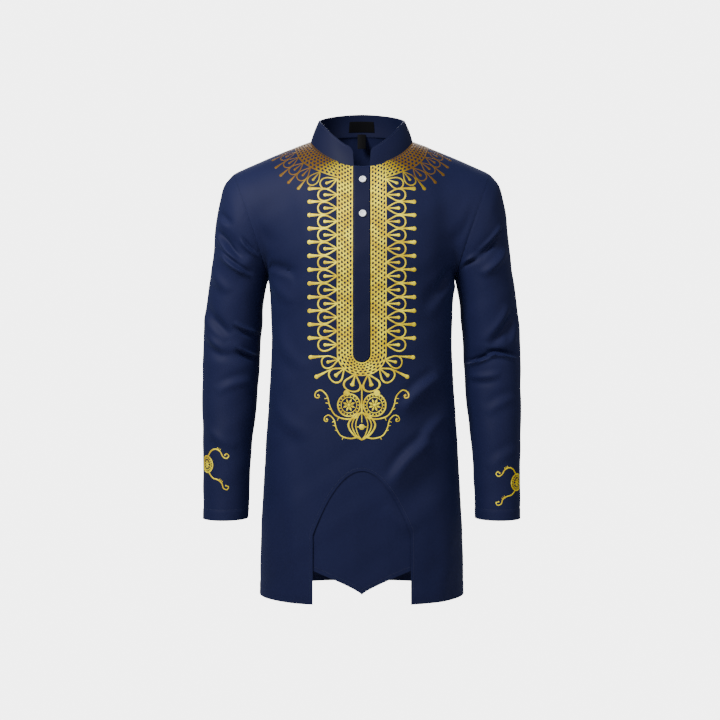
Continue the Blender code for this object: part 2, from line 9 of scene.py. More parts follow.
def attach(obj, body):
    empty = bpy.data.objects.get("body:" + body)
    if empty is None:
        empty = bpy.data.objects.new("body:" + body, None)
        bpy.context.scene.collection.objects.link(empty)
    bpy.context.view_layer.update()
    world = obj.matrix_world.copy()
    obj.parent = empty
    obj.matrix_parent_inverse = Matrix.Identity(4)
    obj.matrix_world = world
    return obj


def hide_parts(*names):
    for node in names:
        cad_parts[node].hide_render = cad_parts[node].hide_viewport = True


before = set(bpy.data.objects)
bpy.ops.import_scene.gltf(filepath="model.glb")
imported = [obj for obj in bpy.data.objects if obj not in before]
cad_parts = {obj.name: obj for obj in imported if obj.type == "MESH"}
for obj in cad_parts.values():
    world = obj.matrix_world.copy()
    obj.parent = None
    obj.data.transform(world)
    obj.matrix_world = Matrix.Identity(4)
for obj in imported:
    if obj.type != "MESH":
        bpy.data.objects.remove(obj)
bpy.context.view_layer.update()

# Lengths are metres. The shirt faces -Y, and the origin is between the neck points of the shoulder seams.
mm = 0.001
shirt = {
    "wall": 0.0014,            # cloth thickness
    "turnUp": {"hem": 0.0210, "cuff": 0.0200, "stitches": 0.0205},     # how high the cloth is turned up
    "turnUpStep": 0.00045,     # how far the turned-up cloth stands out
    "turnUpGroove": 0.0003,    # the hollow above it
    "seamDip": 0.0005,         # how far cloth sinks in at a seam
    "seamSpread": 0.0036,      # and how wide the sunk strip is
    "creaseDepth": 1.8,        # how strongly the fine creases show
    "neckHalfWidth": 0.0935,
    "neckFront": 0.085,
    "neckBack": 0.068,
    "neckDrop": 0.0586,
    "neckRise": 0.022,
    "shoulderHalfWidth": 0.234,
    "shoulderDrop": 0.060,
    "armpitHeight": -0.250,
    "armholeFront": 0.078,
    "armholeBack": 0.074,
    "hemHeight": -0.831,
    "neckShare": 0.46,         # share of a panel's half that ends at the neck
    "bodyPower": 2.25,         # squareness of the body's sections
}

bodySections = {
    "z":         [-0.831, -0.760, -0.680, -0.600, -0.520, -0.440, -0.370, -0.310, -0.250],
    "halfWidth": [0.1870, 0.1860, 0.1830, 0.1785, 0.1735, 0.1685, 0.1655, 0.1670, 0.1715],
    "front":     [0.131, 0.129, 0.127, 0.124, 0.121, 0.119, 0.119, 0.121, 0.125],
    "back":      [0.114, 0.113, 0.113, 0.111, 0.105, 0.099, 0.098, 0.105, 0.116],
}

softTop = {
    "u":     [0.00, 0.23, 0.46, 0.73, 1.00],
    "x":     [0.000, 0.060, 0.110, 0.168, 0.234],
    "ahead": [1.00, 0.90, 0.55, 0.18, 0.00],
    "front": [-0.0586, -0.0420, -0.0210, -0.0300, -0.0600],
    "back":  [0.022, 0.014, -0.005, -0.030, -0.060],
}

sleeveRings = {
    "outerX": [0.2345, 0.2520, 0.2605, 0.2670, 0.2715, 0.2780, 0.2860,
               0.2915, 0.2930, 0.2925, 0.2910, 0.2895, 0.2880, 0.2875],
    "outerZ": [-0.0600, -0.0810, -0.1080, -0.1450, -0.1900, -0.2430, -0.3000,
               -0.3550, -0.4100, -0.4700, -0.5300, -0.5900, -0.6450, -0.6900],
    "innerX": [0.1740, 0.1765, 0.1785, 0.1810, 0.1835, 0.1850, 0.1875,
               0.1890, 0.1915, 0.1955, 0.2005, 0.2040, 0.2060, 0.2075],
    "innerZ": [-0.2480, -0.2600, -0.2730, -0.2890, -0.3090, -0.3340, -0.3660,
               -0.4050, -0.4480, -0.4950, -0.5430, -0.5960, -0.6460, -0.6900],
    "depth":  [0.0770, 0.0770, 0.0760, 0.0745, 0.0725, 0.0700, 0.0675,
               0.0650, 0.0615, 0.0580, 0.0545, 0.0510, 0.0485, 0.0470],
    "y":      [-0.002, -0.002, -0.001, 0.000, 0.001, 0.002, 0.003,
               0.002, -0.001, -0.007, -0.015, -0.023, -0.029, -0.034],
}

# A fold runs between two places (x, z) seen from its side. height is how far it stands out, pinch the
# hollow beside it, bow how far its middle is bent aside, peak moves its strongest place along it.
# Its lengths are millimetres, and a row of a fold table holds these values in this order.
def fold(x0, z0, x1, z1, width, height, pinch=0.0, bow=0.0, peak=1.0):
    lengths = {"x0": x0, "z0": z0, "x1": x1, "z1": z1, "width": width, "height": height, "bow": bow}
    return {"pinch": pinch, "peak": peak, **{name: value * mm for name, value in lengths.items()}}


def foldTable(*rows):
    return [fold(*row) for row in rows]


def mirrored(*rows):       # the rows as they are, then the same for the other arm
    return rows + tuple((-x0, z0, -x1, *rest) for x0, z0, x1, *rest in rows)


largeBodyFolds = {
    "front": foldTable(
        (150, -420, 60, -500, 18, 5),
        (158, -455, 80, -530, 20, -4.5),
        (140, -530, 40, -630, 20, 5.5),
        (150, -580, 60, -670, 22, -4.5),
        (168, -225, 120, -310, 16, -6),
        (-168, -235, -105, -262, 14, -4),
        (-130, -300, -120, -520, 30, -3.5),
        (-140, -560, -100, -835, 30, 4),
        (130, -640, 125, -835, 28, 4),
    ),
    "back": foldTable(
        (0, -330, 0, -835, 34, -6),
        (-85, -300, -70, -835, 30, 5.5),
        (85, -320, 75, -835, 30, 5.5),
        (-165, -240, -90, -330, 20, -6),
        (165, -240, 85, -345, 20, -6),
        (-120, -420, 110, -405, 16, -3.5),
    ),
}
largeSleeveFolds = {
    "front": foldTable(*mirrored(
        (-255, -175, -205, -225, 13, -6),
        (-250, -205, -212, -250, 14, 4.5),
        (-275, -330, -228, -380, 14, -4.5),
        (-190, -398, -282, -388, 12, -5.5),
    )),
    "back": foldTable(*mirrored(
        (-270, -170, -205, -250, 14, -6),
        (-285, -352, -195, -378, 13, -5),
        (-285, -405, -200, -410, 13, -4.5),
    )),
}

# Finer creases of the cloth, laid over the large folds along the surface's normal
fineBodyFolds = {
    "front": foldTable(
        (139, -433, 72, -492, 8.5, 2.6, 0.7, 6, 0.8),
        (124, -545, 50, -622, 9.5, 3.2, 0.7, 8, 0.8),
        (150, -500, 100, -560, 8, 1.6, 0.6, 4),
        (166, -235, 136, -285, 8, -3, 0.4, 4, 0.6),
        (170, -262, 120, -330, 10, 2.2, 0.6, 6, 0.6),
        (-166, -232, -115, -253, 6.5, -2.6, 0.6, -3, 0.6),
        (-168, -250, -120, -300, 9.5, 2, 0.5, 6, 0.6),
        (-150, -340, -100, -420, 12, 1.6, 0.5, 10),
        (-160, -470, -90, -540, 13, 1.5, 0.5, 10),
        (-215, -120, -150, -200, 12, -2, 0.3, 10, 0.7),
        (215, -120, 150, -200, 12, -2, 0.3, -10, 0.7),
        (-120, -620, -110, -835, 16, 1.6, 0.5, 6, 1.4),
        (150, -660, 140, -835, 15, 1.6, 0.5, -6, 1.4),
        (40, -660, 100, -700, 14, 1.2, 0.4, 8),
    ),
    "back": foldTable(
        (-160, -250, -70, -330, 10, 2.8, 0.7, 10, 0.6),
        (160, -250, 75, -340, 10, 2.8, 0.7, -10, 0.6),
        (-150, -300, -60, -385, 12, 2, 0.6, 10, 0.7),
        (150, -305, 70, -395, 12, 2, 0.6, -10, 0.7),
        (-110, -430, 60, -418, 9, 2.2, 0.7, 6),
        (-60, -462, 120, -452, 9, 1.8, 0.7, -6),
        (30, -480, 35, -800, 16, 1.8, 0.6, 6, 1.3),
        (-40, -520, -35, -820, 15, 1.6, 0.6, -6, 1.3),
        (-190, -130, -80, -190, 14, -1.6, 0.4, 10),
        (190, -130, 80, -190, 14, -1.6, 0.4, -10),
    ),
}
fineSleeveFolds = {
    "front": foldTable(
        (-256, -134, -232, -160, 6, -2.2, 0.6, 2),
        (-258, -168, -216, -220, 4.5, -3.2, 1.0, 4, 0.8),
        (-214, -184, -174, -218, 3.6, -2.6, 1.0, 3),
        (-250, -206, -196, -248, 4.2, -2.8, 1.0, 4),
        (-275, -225, -236, -282, 9, 2, 0.6, 6),
        (-286, -300, -232, -358, 8.5, -3, 0.8, 6, 0.8),
        (-288, -345, -240, -392, 7.5, 2.2, 0.6, 4),
        (-188, -362, -232, -342, 4.2, -2.6, 1.0, -3),
        (-188, -403, -226, -386, 3.6, -3.2, 1.0, -2),
        (-200, -440, -262, -462, 8, 1.6, 0.6, 4),
        (-285, -520, -225, -560, 9, 1.4, 0.5, 4),
        (256, -166, 212, -216, 4.6, -3.2, 1.0, -4, 0.8),
        (262, -200, 216, -252, 7, 2.6, 0.6, -4),
        (210, -222, 172, -244, 3.6, -2.8, 1.0, 3),
        (276, -312, 230, -378, 8, -3.2, 0.8, -5, 0.8),
        (282, -325, 274, -376, 6, 2.2, 0.6, 2),
        (183, -406, 240, -386, 3.8, -3.6, 1.0, 3),
        (222, -387, 286, -396, 3.8, -3.8, 1.0, -3),
        (192, -432, 250, -428, 6.5, 2, 0.6, 3),
        (280, -470, 225, -500, 8.5, 1.6, 0.6, 4),
        (284, -560, 226, -600, 9, 1.3, 0.5, 4),
    ),
    "back": foldTable(
        (-272, -160, -206, -240, 8, -3.6, 0.8, 6),
        (-280, -200, -215, -275, 8, 2.6, 0.7, 6),
        (-288, -340, -195, -368, 6, -3.6, 0.9, 5),
        (-288, -368, -195, -388, 6.5, 2.6, 0.7, -4),
        (-286, -400, -200, -408, 6, -3, 0.9, 4),
        (-280, -500, -210, -540, 9, 1.6, 0.5, 4),
        (272, -160, 206, -240, 8, -3.6, 0.8, -6),
        (280, -205, 215, -280, 8, 2.6, 0.7, -6),
        (288, -346, 195, -374, 6, -3.6, 0.9, -5),
        (288, -374, 195, -394, 6.5, 2.6, 0.7, 4),
        (286, -406, 200, -414, 6, -3, 0.9, -4),
        (280, -510, 210, -545, 9, 1.6, 0.5, -4),
    ),
}

facing = {"front": -1, "back": 1}
pinchPlace = 1.7           # of a fold's width beside it
bothSides = ((-1, "left"), (1, "right"))


def smoothCurve(keys, values, at):
    keys, values = np.asarray(keys, float), np.asarray(values, float)
    at = np.clip(at, keys[0], keys[-1])
    i = np.clip(np.searchsorted(keys, at, side="right") - 1, 0, len(keys) - 2)
    slopes = np.empty(len(keys))
    slopes[1:-1] = (values[2:] - values[:-2]) / (keys[2:] - keys[:-2])
    slopes[0] = (values[1] - values[0]) / (keys[1] - keys[0])
    slopes[-1] = (values[-1] - values[-2]) / (keys[-1] - keys[-2])
    span = keys[i + 1] - keys[i]
    share = (at - keys[i]) / span
    start, end, rise = slopes[i] * span, slopes[i + 1] * span, values[i + 1] - values[i]
    bend, twist = 3 * rise - 2 * start - end, start + end - 2 * rise
    return values[i] + start * share + bend * share**2 + twist * share**3


def ease(share):
    share = np.clip(share, 0, 1)
    return share * share * (3 - 2 * share)


def hump(distance, width):
    return np.exp(-((distance / width) ** 2))


def joined(x, y, z):
    return np.stack(np.broadcast_arrays(x, y, z), axis=-1).astype(float)


def unit(vectors):
    return vectors / np.maximum(np.linalg.norm(vectors, axis=-1, keepdims=True), 1e-12)


def foldRelief(folds, x, z):
    total = np.zeros(np.shape(x))
    for one in folds:
        runX, runZ = one["x1"] - one["x0"], one["z1"] - one["z0"]
        fromX, fromZ = x - one["x0"], z - one["z0"]
        length = math.hypot(runX, runZ)
        along = np.clip((fromX * runX + fromZ * runZ) / length**2, 0, 1)
        across = (fromX * runZ - fromZ * runX) / length - one["bow"] * np.sin(math.pi * along)
        across = across / one["width"]
        taper = np.clip(np.sin(math.pi * along ** one["peak"]), 0, 1) ** 0.7
        profile = hump(across, 1) - one["pinch"] * hump(across - pinchPlace, 1)
        total += one["height"] * taper * profile
    return total


def waviness(x, z, shift):
    slow = np.sin(72 * x + 33 * z + shift) + 0.8 * np.sin(-51 * x + 84 * z + 1.7 * shift)
    quick = np.sin(128 * x - 47 * z + 2.3 * shift) * np.sin(95 * z + 31 * x + shift)
    return 0.00042 * slow + 0.00026 * quick


def bodyPoint(side, u, z):
    halfWidth = smoothCurve(bodySections["z"], bodySections["halfWidth"], z)
    depth = smoothCurve(bodySections["z"], bodySections[side], z)
    share = np.sin(u * math.pi / 2)
    power = shirt["bodyPower"]
    bulge = np.clip(1 - np.abs(share) ** power, 0, 1) ** (1 / power)
    x = halfWidth * share
    fade = np.clip((1 - np.abs(u)) / 0.15, 0, 1)
    relief = foldRelief(largeBodyFolds[side], x, z) * fade
    return joined(x, facing[side] * (depth * bulge + relief), z)


def neckPoint(side, turn):
    x, ahead = shirt["neckHalfWidth"] * np.sin(turn), np.maximum(np.cos(turn), 0)
    if side == "front":
        return joined(x, -shirt["neckFront"] * ahead, -shirt["neckDrop"] * ahead**1.4)
    return joined(x, shirt["neckBack"] * ahead, shirt["neckRise"] * ahead**1.2)


def topPoint(side, u):
    share = np.clip((np.abs(u) - shirt["neckShare"]) / (1 - shirt["neckShare"]), 0, 1)
    x = shirt["neckHalfWidth"] + (shirt["shoulderHalfWidth"] - shirt["neckHalfWidth"]) * share
    shoulder = joined(np.copysign(x, u), 0, -shirt["shoulderDrop"] * share**1.06)
    neck = neckPoint(side, np.clip(u / shirt["neckShare"], -1, 1) * math.pi / 2)
    return np.where((np.abs(u) <= shirt["neckShare"])[:, None], neck, shoulder)


def softTopPoint(side, u, rise):
    depth = shirt["neckFront"] if side == "front" else shirt["neckBack"]
    columns = (softTop[name] for name in ("x", "ahead", side))
    across, ahead, height = (smoothCurve(softTop["u"], column, np.abs(u)) for column in columns)
    soft = joined(np.copysign(across, u), facing[side] * depth * ahead, height)
    return soft + (topPoint(side, u) - soft) * (rise**3)[:, None]


def armholePoint(side, turn):
    depth = shirt["armholeFront"] if side == "front" else shirt["armholeBack"]
    power = 1.15 if side == "front" else 0.95
    height = (1 + np.cos(turn)) / 2
    halfWidth = smoothCurve(bodySections["z"], bodySections["halfWidth"], shirt["armpitHeight"])
    x = halfWidth + (shirt["shoulderHalfWidth"] - halfWidth) * height**power
    y = facing[side] * depth * np.maximum(np.sin(turn), 0) ** 0.9
    return joined(-x, y, shirt["armpitHeight"] - (shirt["shoulderDrop"] + shirt["armpitHeight"]) * height)


def upperBase(side, u, rise):
    low = bodyPoint(side, u, np.full(np.shape(u), shirt["armpitHeight"]))
    high = softTopPoint(side, u, rise)
    climb = np.sin(rise * math.pi / 2)
    roll = np.clip(1 - climb * climb, 0, 1) ** 0.77
    x = low[:, 0] + (high[:, 0] - low[:, 0]) * ease(climb)
    z = low[:, 2] + (high[:, 2] - low[:, 2]) * climb
    return joined(x, high[:, 1] + (low[:, 1] - high[:, 1]) * roll, z)


def upperPoint(side, u, rise):
    point = upperBase(side, u, rise)
    edge = armholePoint(side, math.pi * (1 - rise)) - upperBase(side, -np.ones(np.shape(u)), rise)
    sign = np.where(u > 0, -1, 1)
    share = np.abs(u)
    point += joined(sign * edge[:, 0] * share**3, edge[:, 1] * share**2, edge[:, 2] * share**4)
    relief = foldRelief(largeBodyFolds[side], point[:, 0], point[:, 2]) * (1 - share**6)
    point[:, 1] += relief * facing[side] * (1 - rise)
    return point


def panelPoint(side, u, v):         # u: -1 and 1 sides; v: -1 hem, 0 armpits, 1 top edge
    armpit = shirt["armpitHeight"]
    low = bodyPoint(side, u, armpit + np.minimum(v, 0) * (armpit - shirt["hemHeight"]))
    high = upperPoint(side, u, np.maximum(v, 0))
    return np.where((v < 0)[:, None], low, high)


def panelNormal(side, u, v):
    step = 0.004
    across = panelPoint(side, np.minimum(u + step, 1), v) - panelPoint(side, np.maximum(u - step, -1), v)
    upwards = panelPoint(side, u, np.minimum(v + step, 1)) - panelPoint(side, u, np.maximum(v - step, -1))
    return unit(np.cross(across, upwards)) * (1 if side == "front" else -1)


def seamHollow(distance):
    return shirt["seamDip"] * hump(distance, shirt["seamSpread"])


def turnUpRelief(distance, height):
    step = shirt["turnUpStep"] * ease((height - distance) / 0.0016)
    return step - shirt["turnUpGroove"] * hump(distance - height - 0.0005, 0.0011)


def panelSurface(side, u, v, lift):
    point, normal = panelPoint(side, u, v), panelNormal(side, u, v)
    x, z = point[:, 0], point[:, 2]
    calm = ease((1 - np.abs(u)) / 0.10) * (1 - np.clip(v, 0, 1) ** 5)
    creases = shirt["creaseDepth"] * foldRelief(fineBodyFolds[side], x, z)
    relief = (creases + waviness(x, z, 0.4 if side == "front" else 2.9)) * calm
    toSide = np.linalg.norm(point - panelPoint(side, np.where(u < 0, -1.0, 1.0), v), axis=1)
    top = panelPoint(side, u, np.ones(np.shape(u)))
    toTop = np.linalg.norm(point - top, axis=1)
    alongSeam = np.where(v > 0, z, z * 0.6)
    pucker = 0.00026 * np.sin(alongSeam * 640 + 1.3 * np.sin(alongSeam * 97)) * hump(toSide, 0.011)
    hollow = seamHollow(toSide) + np.where(np.abs(u) > shirt["neckShare"] * 0.98, seamHollow(toTop), 0)
    hem = turnUpRelief(z - shirt["hemHeight"], shirt["turnUp"]["hem"])
    return point + normal * (lift + relief + pucker - hollow + hem)[:, None], normal


def frontAt(x, z):                  # Newton's method: the front panel's u and v at x and z
    x, z = np.asarray(x, float), np.asarray(z, float)
    armpit = shirt["armpitHeight"]
    u = x / 0.2
    v = np.where(z < armpit, (z - armpit) / (armpit - shirt["hemHeight"]), (z - armpit) / 0.3)
    step = 1e-4
    for _ in range(16):
        here = panelPoint("front", u, v)
        byU = (panelPoint("front", u + step, v) - here) / step
        byV = (panelPoint("front", u, v + step) - here) / step
        missX, missZ = x - here[:, 0], z - here[:, 2]
        area = byU[:, 0] * byV[:, 2] - byV[:, 0] * byU[:, 2]
        u = np.clip(u + (missX * byV[:, 2] - byV[:, 0] * missZ) / area, -0.95, 0.95)
        v = np.clip(v + (byU[:, 0] * missZ - missX * byU[:, 2]) / area, -0.9999, 0.9999)
    return u, v


def offFront(x, z, lift):
    u, v = frontAt(x, z)
    return panelSurface("front", u, v, lift)


lastRing = len(sleeveRings["y"]) - 1
cuffRingGap = 0.046         # from the last ring but one to the cuff


def ringPoint(row, turn):
    outer = joined(-row["outerX"], row["y"], row["outerZ"])
    inner = joined(-row["innerX"], row["y"], row["innerZ"])
    middle, reach = (outer + inner) / 2, (outer - inner) / 2
    sideways = joined(0, -row["depth"] * np.sin(turn), 0)
    return middle + reach * np.cos(turn)[:, None] + sideways


def sleevePoint(along, turn):       # the -X sleeve; turn goes from the top to the front
    rows = range(lastRing + 1)
    point = ringPoint({name: smoothCurve(rows, column, along) for name, column in sleeveRings.items()}, turn)
    cap = np.clip(1 - along / 5, 0, 1)
    return point + armholePull(turn) * (cap**2)[:, None]


def armholePull(turn):
    first = ringPoint({name: column[0] for name, column in sleeveRings.items()}, turn)
    turn = np.mod(turn, 2 * math.pi)
    ahead = (turn <= math.pi)[:, None]
    seam = np.where(ahead, armholePoint("front", turn), armholePoint("back", 2 * math.pi - turn))
    low = ((1 - np.cos(turn)) / 2) ** 4
    return seam + joined(-(0.0002 + 0.0006 * low), 0, 0.0006 * low) - first


def sleeveSurface(mirror, along, turn, lift):
    step = 0.02
    point = sleevePoint(along, turn)
    lower = sleevePoint(np.minimum(along + step, lastRing), turn)
    upper = sleevePoint(np.maximum(along - step, 0), turn)
    normal = unit(np.cross(lower - upper, sleevePoint(along, turn + step) - sleevePoint(along, turn - step)))
    x, z = mirror * point[:, 0], point[:, 2]
    relief = np.zeros(np.shape(along))
    for side in ("front", "back"):
        here = normal[:, 1] * facing[side] > 0
        creases = shirt["creaseDepth"] * foldRelief(fineSleeveFolds[side], x, z)
        relief = np.where(here, foldRelief(largeSleeveFolds[side], x, z) + creases, relief)
    relief = relief * ease(np.abs(normal[:, 1]) * 1.6) * ease(along / 1.5)
    relief += waviness(x + 0.3 * point[:, 1], z, 1.1 if mirror > 0 else 4.2) * ease(along / 1.5)
    toSeam = np.linalg.norm(point - sleevePoint(np.zeros(np.shape(along)), turn), axis=1)
    pucker = 0.00042 * np.sin(turn * 62 + 1.4 * np.sin(turn * 9)) * hump(toSeam, 0.012)
    underarm = np.abs(np.mod(turn, 2 * math.pi) - math.pi) * 0.05
    hollow = seamHollow(toSeam) + 0.6 * seamHollow(underarm)
    hem = turnUpRelief((lastRing - along) * cuffRingGap, shirt["turnUp"]["cuff"])
    place = point + normal * (lift + relief + pucker - hollow + hem)[:, None]
    return place * np.array([mirror, 1, 1]), normal * np.array([mirror, 1, 1])


collarForm = {
    "degrees": [0, 20, 35, 55, 90, 135, 180],
    "rise": [0.0310, 0.0370, 0.0430, 0.0460, 0.0400, 0.0400, 0.0410],
    "lean": [0.0105, 0.0115, 0.0130, 0.0150, 0.0155, 0.0130, 0.0110],
}


def collarPoint(turn, share):       # turn is 0 at the front, share goes from the seam to the top edge
    ahead = np.abs(turn) <= math.pi / 2
    quarter = np.where(ahead, np.abs(turn), math.pi - np.abs(turn))
    base = np.where(ahead[:, None], neckPoint("front", quarter), neckPoint("back", quarter))
    base[:, 0] = np.where(turn < 0, -base[:, 0], base[:, 0])
    degrees = np.degrees(np.abs(turn))
    rise, lean = (smoothCurve(collarForm["degrees"], collarForm[name], degrees) for name in ("rise", "lean"))
    outwards = unit(joined(base[:, 0], base[:, 1] * 1.2, 0))
    bow = 0.0012 * np.sin(math.pi * share) + 0.0003 * np.sin(9 * turn) * np.sin(math.pi * share)
    base[:, 2] += rise * share - 0.0006
    return base + outwards * (bow - lean * share)[:, None], outwards


def wrapped(turn):
    return np.where(turn > math.pi, turn - 2 * math.pi, turn)


# Helpers for the modelling
def pickOnly(obj):
    bpy.ops.object.select_all(action="DESELECT")
    obj.select_set(True)
    bpy.context.view_layer.objects.active = obj


def editAll(obj):
    pickOnly(obj)
    bpy.ops.object.mode_set(mode="EDIT")
    bpy.ops.mesh.select_all(action="SELECT")


def flipFaces(obj):
    editAll(obj)
    bpy.ops.mesh.flip_normals()
    bpy.ops.object.mode_set(mode="OBJECT")


def added(primitive, **settings):
    bpy.ops.object.select_all(action="DESELECT")
    primitive(**settings)
    return bpy.context.object


def discard(*objects):
    for obj in objects:
        bpy.data.objects.remove(obj, do_unlink=True)


def coords(obj):
    flat = np.empty(len(obj.data.vertices) * 3)
    obj.data.vertices.foreach_get("co", flat)
    return flat.reshape(-1, 3)


def placeVerts(obj, place):
    moved = np.ascontiguousarray(place(coords(obj)), dtype=float)
    obj.data.vertices.foreach_set("co", moved.ravel())
    obj.data.update()


def newGrid(name, columns, rows, size=(1.0, 1.0)):      # a plane of -1..1; its UV map is in metres of cloth
    obj = added(bpy.ops.mesh.primitive_grid_add, x_subdivisions=columns, y_subdivisions=rows, size=2)
    obj.name = obj.data.name = name
    layer = obj.data.uv_layers[0]
    layer.name = "cloth"
    uv = np.empty(len(layer.data) * 2)
    layer.data.foreach_get("uv", uv)
    layer.data.foreach_set("uv", (uv.reshape(-1, 2) * np.array(size)).ravel())
    return obj


def modify(obj, kind, **settings):
    pickOnly(obj)
    modifier = obj.modifiers.new(kind.lower(), kind)
    for key, value in settings.items():
        setattr(modifier, key, value)
    bpy.ops.object.modifier_apply(modifier=modifier.name)


def giveWall(obj, wall, offset=-1.0):
    modify(obj, "SOLIDIFY", thickness=wall, offset=offset)


def bevel(obj, width, segments=2):
    modify(obj, "BEVEL", width=width, segments=segments, limit_method="ANGLE", angle_limit=math.radians(60))


def cutOut(obj, tool):
    modify(obj, "BOOLEAN", operation="DIFFERENCE", solver="EXACT", object=tool)
    discard(tool)


def repeat(obj, count, step):
    modify(obj, "ARRAY", count=count, use_relative_offset=False, use_constant_offset=True,
           constant_offset_displace=step)


def smooth(obj, degrees=50):
    pickOnly(obj)
    bpy.ops.object.shade_smooth_by_angle(angle=math.radians(degrees))


def joinAll(objects, name):
    bpy.ops.object.select_all(action="DESELECT")
    for obj in objects:
        obj.select_set(True)
    bpy.context.view_layer.objects.active = objects[0]
    bpy.ops.object.join()
    objects[0].name = objects[0].data.name = name
    return objects[0]


def copyOf(obj, name):
    copied = obj.copy()
    copied.data = obj.data.copy()
    copied.name = copied.data.name = name
    bpy.context.scene.collection.objects.link(copied)
    return copied


def finishPiece(obj, material, replaced=None):
    obj.data.materials.clear()
    obj.data.materials.append(material)
    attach(obj, "root")
    if replaced:
        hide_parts(replaced)
    return obj


# Materials
class Socket:
    def __init__(self, shader, output):
        self.shader, self.output = shader, output

    def math(self, operation, first, second=None):
        inputs = {0: first} if second is None else {0: first, 1: second}
        return self.shader.node("ShaderNodeMath", {"operation": operation}, inputs)

    def __add__(self, other):
        return self.math("ADD", self, other)

    def __radd__(self, other):
        return self.math("ADD", other, self)

    def __sub__(self, other):
        return self.math("SUBTRACT", self, other)

    def __rsub__(self, other):
        return self.math("SUBTRACT", other, self)

    def __mul__(self, other):
        return self.math("MULTIPLY", self, other)

    def __rmul__(self, other):
        return self.math("MULTIPLY", other, self)


def shade(colour, factor=1.0):
    return (*(min(part * factor, 1) for part in colour), 1)


class Finish:
    def __init__(self, name, **constants):
        self.material = bpy.data.materials.new(name)
        self.material.use_nodes = True
        self.tree = self.material.node_tree
        self.surface = self.tree.nodes["Principled BSDF"]
        for key, value in constants.items():
            self.set(key, value)

    def set(self, key, value):
        self.put(self.surface.inputs[key], value)

    def put(self, socket, value):
        if isinstance(value, Socket):
            self.tree.links.new(value.output, socket)
        else:
            socket.default_value = value

    def node(self, kind, settings=None, inputs=None, output=0):
        made = self.tree.nodes.new(kind)
        for key, value in (settings or {}).items():
            if key == "stops":
                for element, (at, level) in zip(made.color_ramp.elements, value):
                    element.position, element.color = at, (level, level, level, 1)
            else:
                setattr(made, key, value)
        for key, value in (inputs or {}).items():
            self.put(made.inputs[key], value)
        return Socket(self, made.outputs[output])

    def place(self):
        return self.node("ShaderNodeTexCoord", output="Object")

    def clothUv(self, stretch):
        uv = self.node("ShaderNodeUVMap", {"uv_map": "cloth"})
        return self.node("ShaderNodeMapping", {"vector_type": "POINT"}, {"Vector": uv, "Scale": stretch})

    def noise(self, vector, scale, detail=2.0, roughness=0.5):
        inputs = {"Vector": vector, "Scale": scale, "Detail": detail, "Roughness": roughness}
        return self.node("ShaderNodeTexNoise", {"noise_dimensions": "3D"}, inputs)

    def mix(self, factor, first, second):
        inputs = {0: factor, 6: first, 7: second}
        return self.node("ShaderNodeMix", {"data_type": "RGBA"}, inputs, output=2)

    def ramp(self, factor, *stops):
        return self.node("ShaderNodeValToRGB", {"stops": stops}, {"Fac": factor})

    def bump(self, height, distance, strength=1.0):
        inputs = {"Height": height, "Distance": distance, "Strength": strength}
        self.set("Normal", self.node("ShaderNodeBump", {}, inputs))


def clothFinish(name, colour, roughness, sheen):
    finish = Finish(name, Roughness=roughness)
    finish.set("Sheen Weight", sheen)
    finish.set("Sheen Roughness", 0.45)
    finish.set("Sheen Tint", (0.25, 0.38, 0.90, 1))
    finish.set("Specular IOR Level", 0.10)
    cloud = finish.noise(finish.place(), 9.0, 3.0)
    warp = finish.noise(finish.clothUv((1400, 90, 1)), 1.0, 1.0)
    weft = finish.noise(finish.clothUv((90, 1400, 1)), 1.0, 1.0)
    threads = (warp + weft) * 0.5
    deep, light = shade(colour, 0.80), shade(colour, 1.18)
    finish.set("Base Color", finish.mix(cloud * 0.55 + threads * 0.45, deep, light))
    finish.set("Roughness", roughness - 0.06 + cloud * 0.10)
    finish.bump(threads, 0.00012, 0.55)
    return finish.material


colours = {
    "navy": (0.0070, 0.0090, 0.0370),
    # the next colour is the same navy cloth painted about a third darker: painted shade for the collar and
    # placket
    "navyPaintedShade": (0.0047, 0.0060, 0.0262),
    "navyThread": (0.0085, 0.0108, 0.043),
    "gold": (0.62, 0.440, 0.001),
    # the next colour is partly the foil's own paler tone and partly painted highlight, standing in for the
    # foil's bright highlight streaks
    "goldPaleHighlight": (0.98, 0.84, 0.014),
    # the next colour is a painted dark reflection, mixed into the gold where the print faces upwards on the
    # shoulders
    "bronzePaintedReflection": (0.122, 0.062, 0.009),
    "button": (0.93, 0.94, 0.96),
    "buttonShade": (0.72, 0.75, 0.82),
    "whiteThread": (0.80, 0.81, 0.84),
    "label": (0.0018, 0.0018, 0.0022),
    "labelRib": (0.004, 0.004, 0.005),
}

shirting = clothFinish("navyShirting", colours["navy"], 0.66, 0.05)
# the collar and placket cloth is the shirting's navy painted darker, painted shade on the same cloth
shadedNavyCloth = clothFinish("navyClothPaintedShade", colours["navyPaintedShade"], 0.62, 0.06)


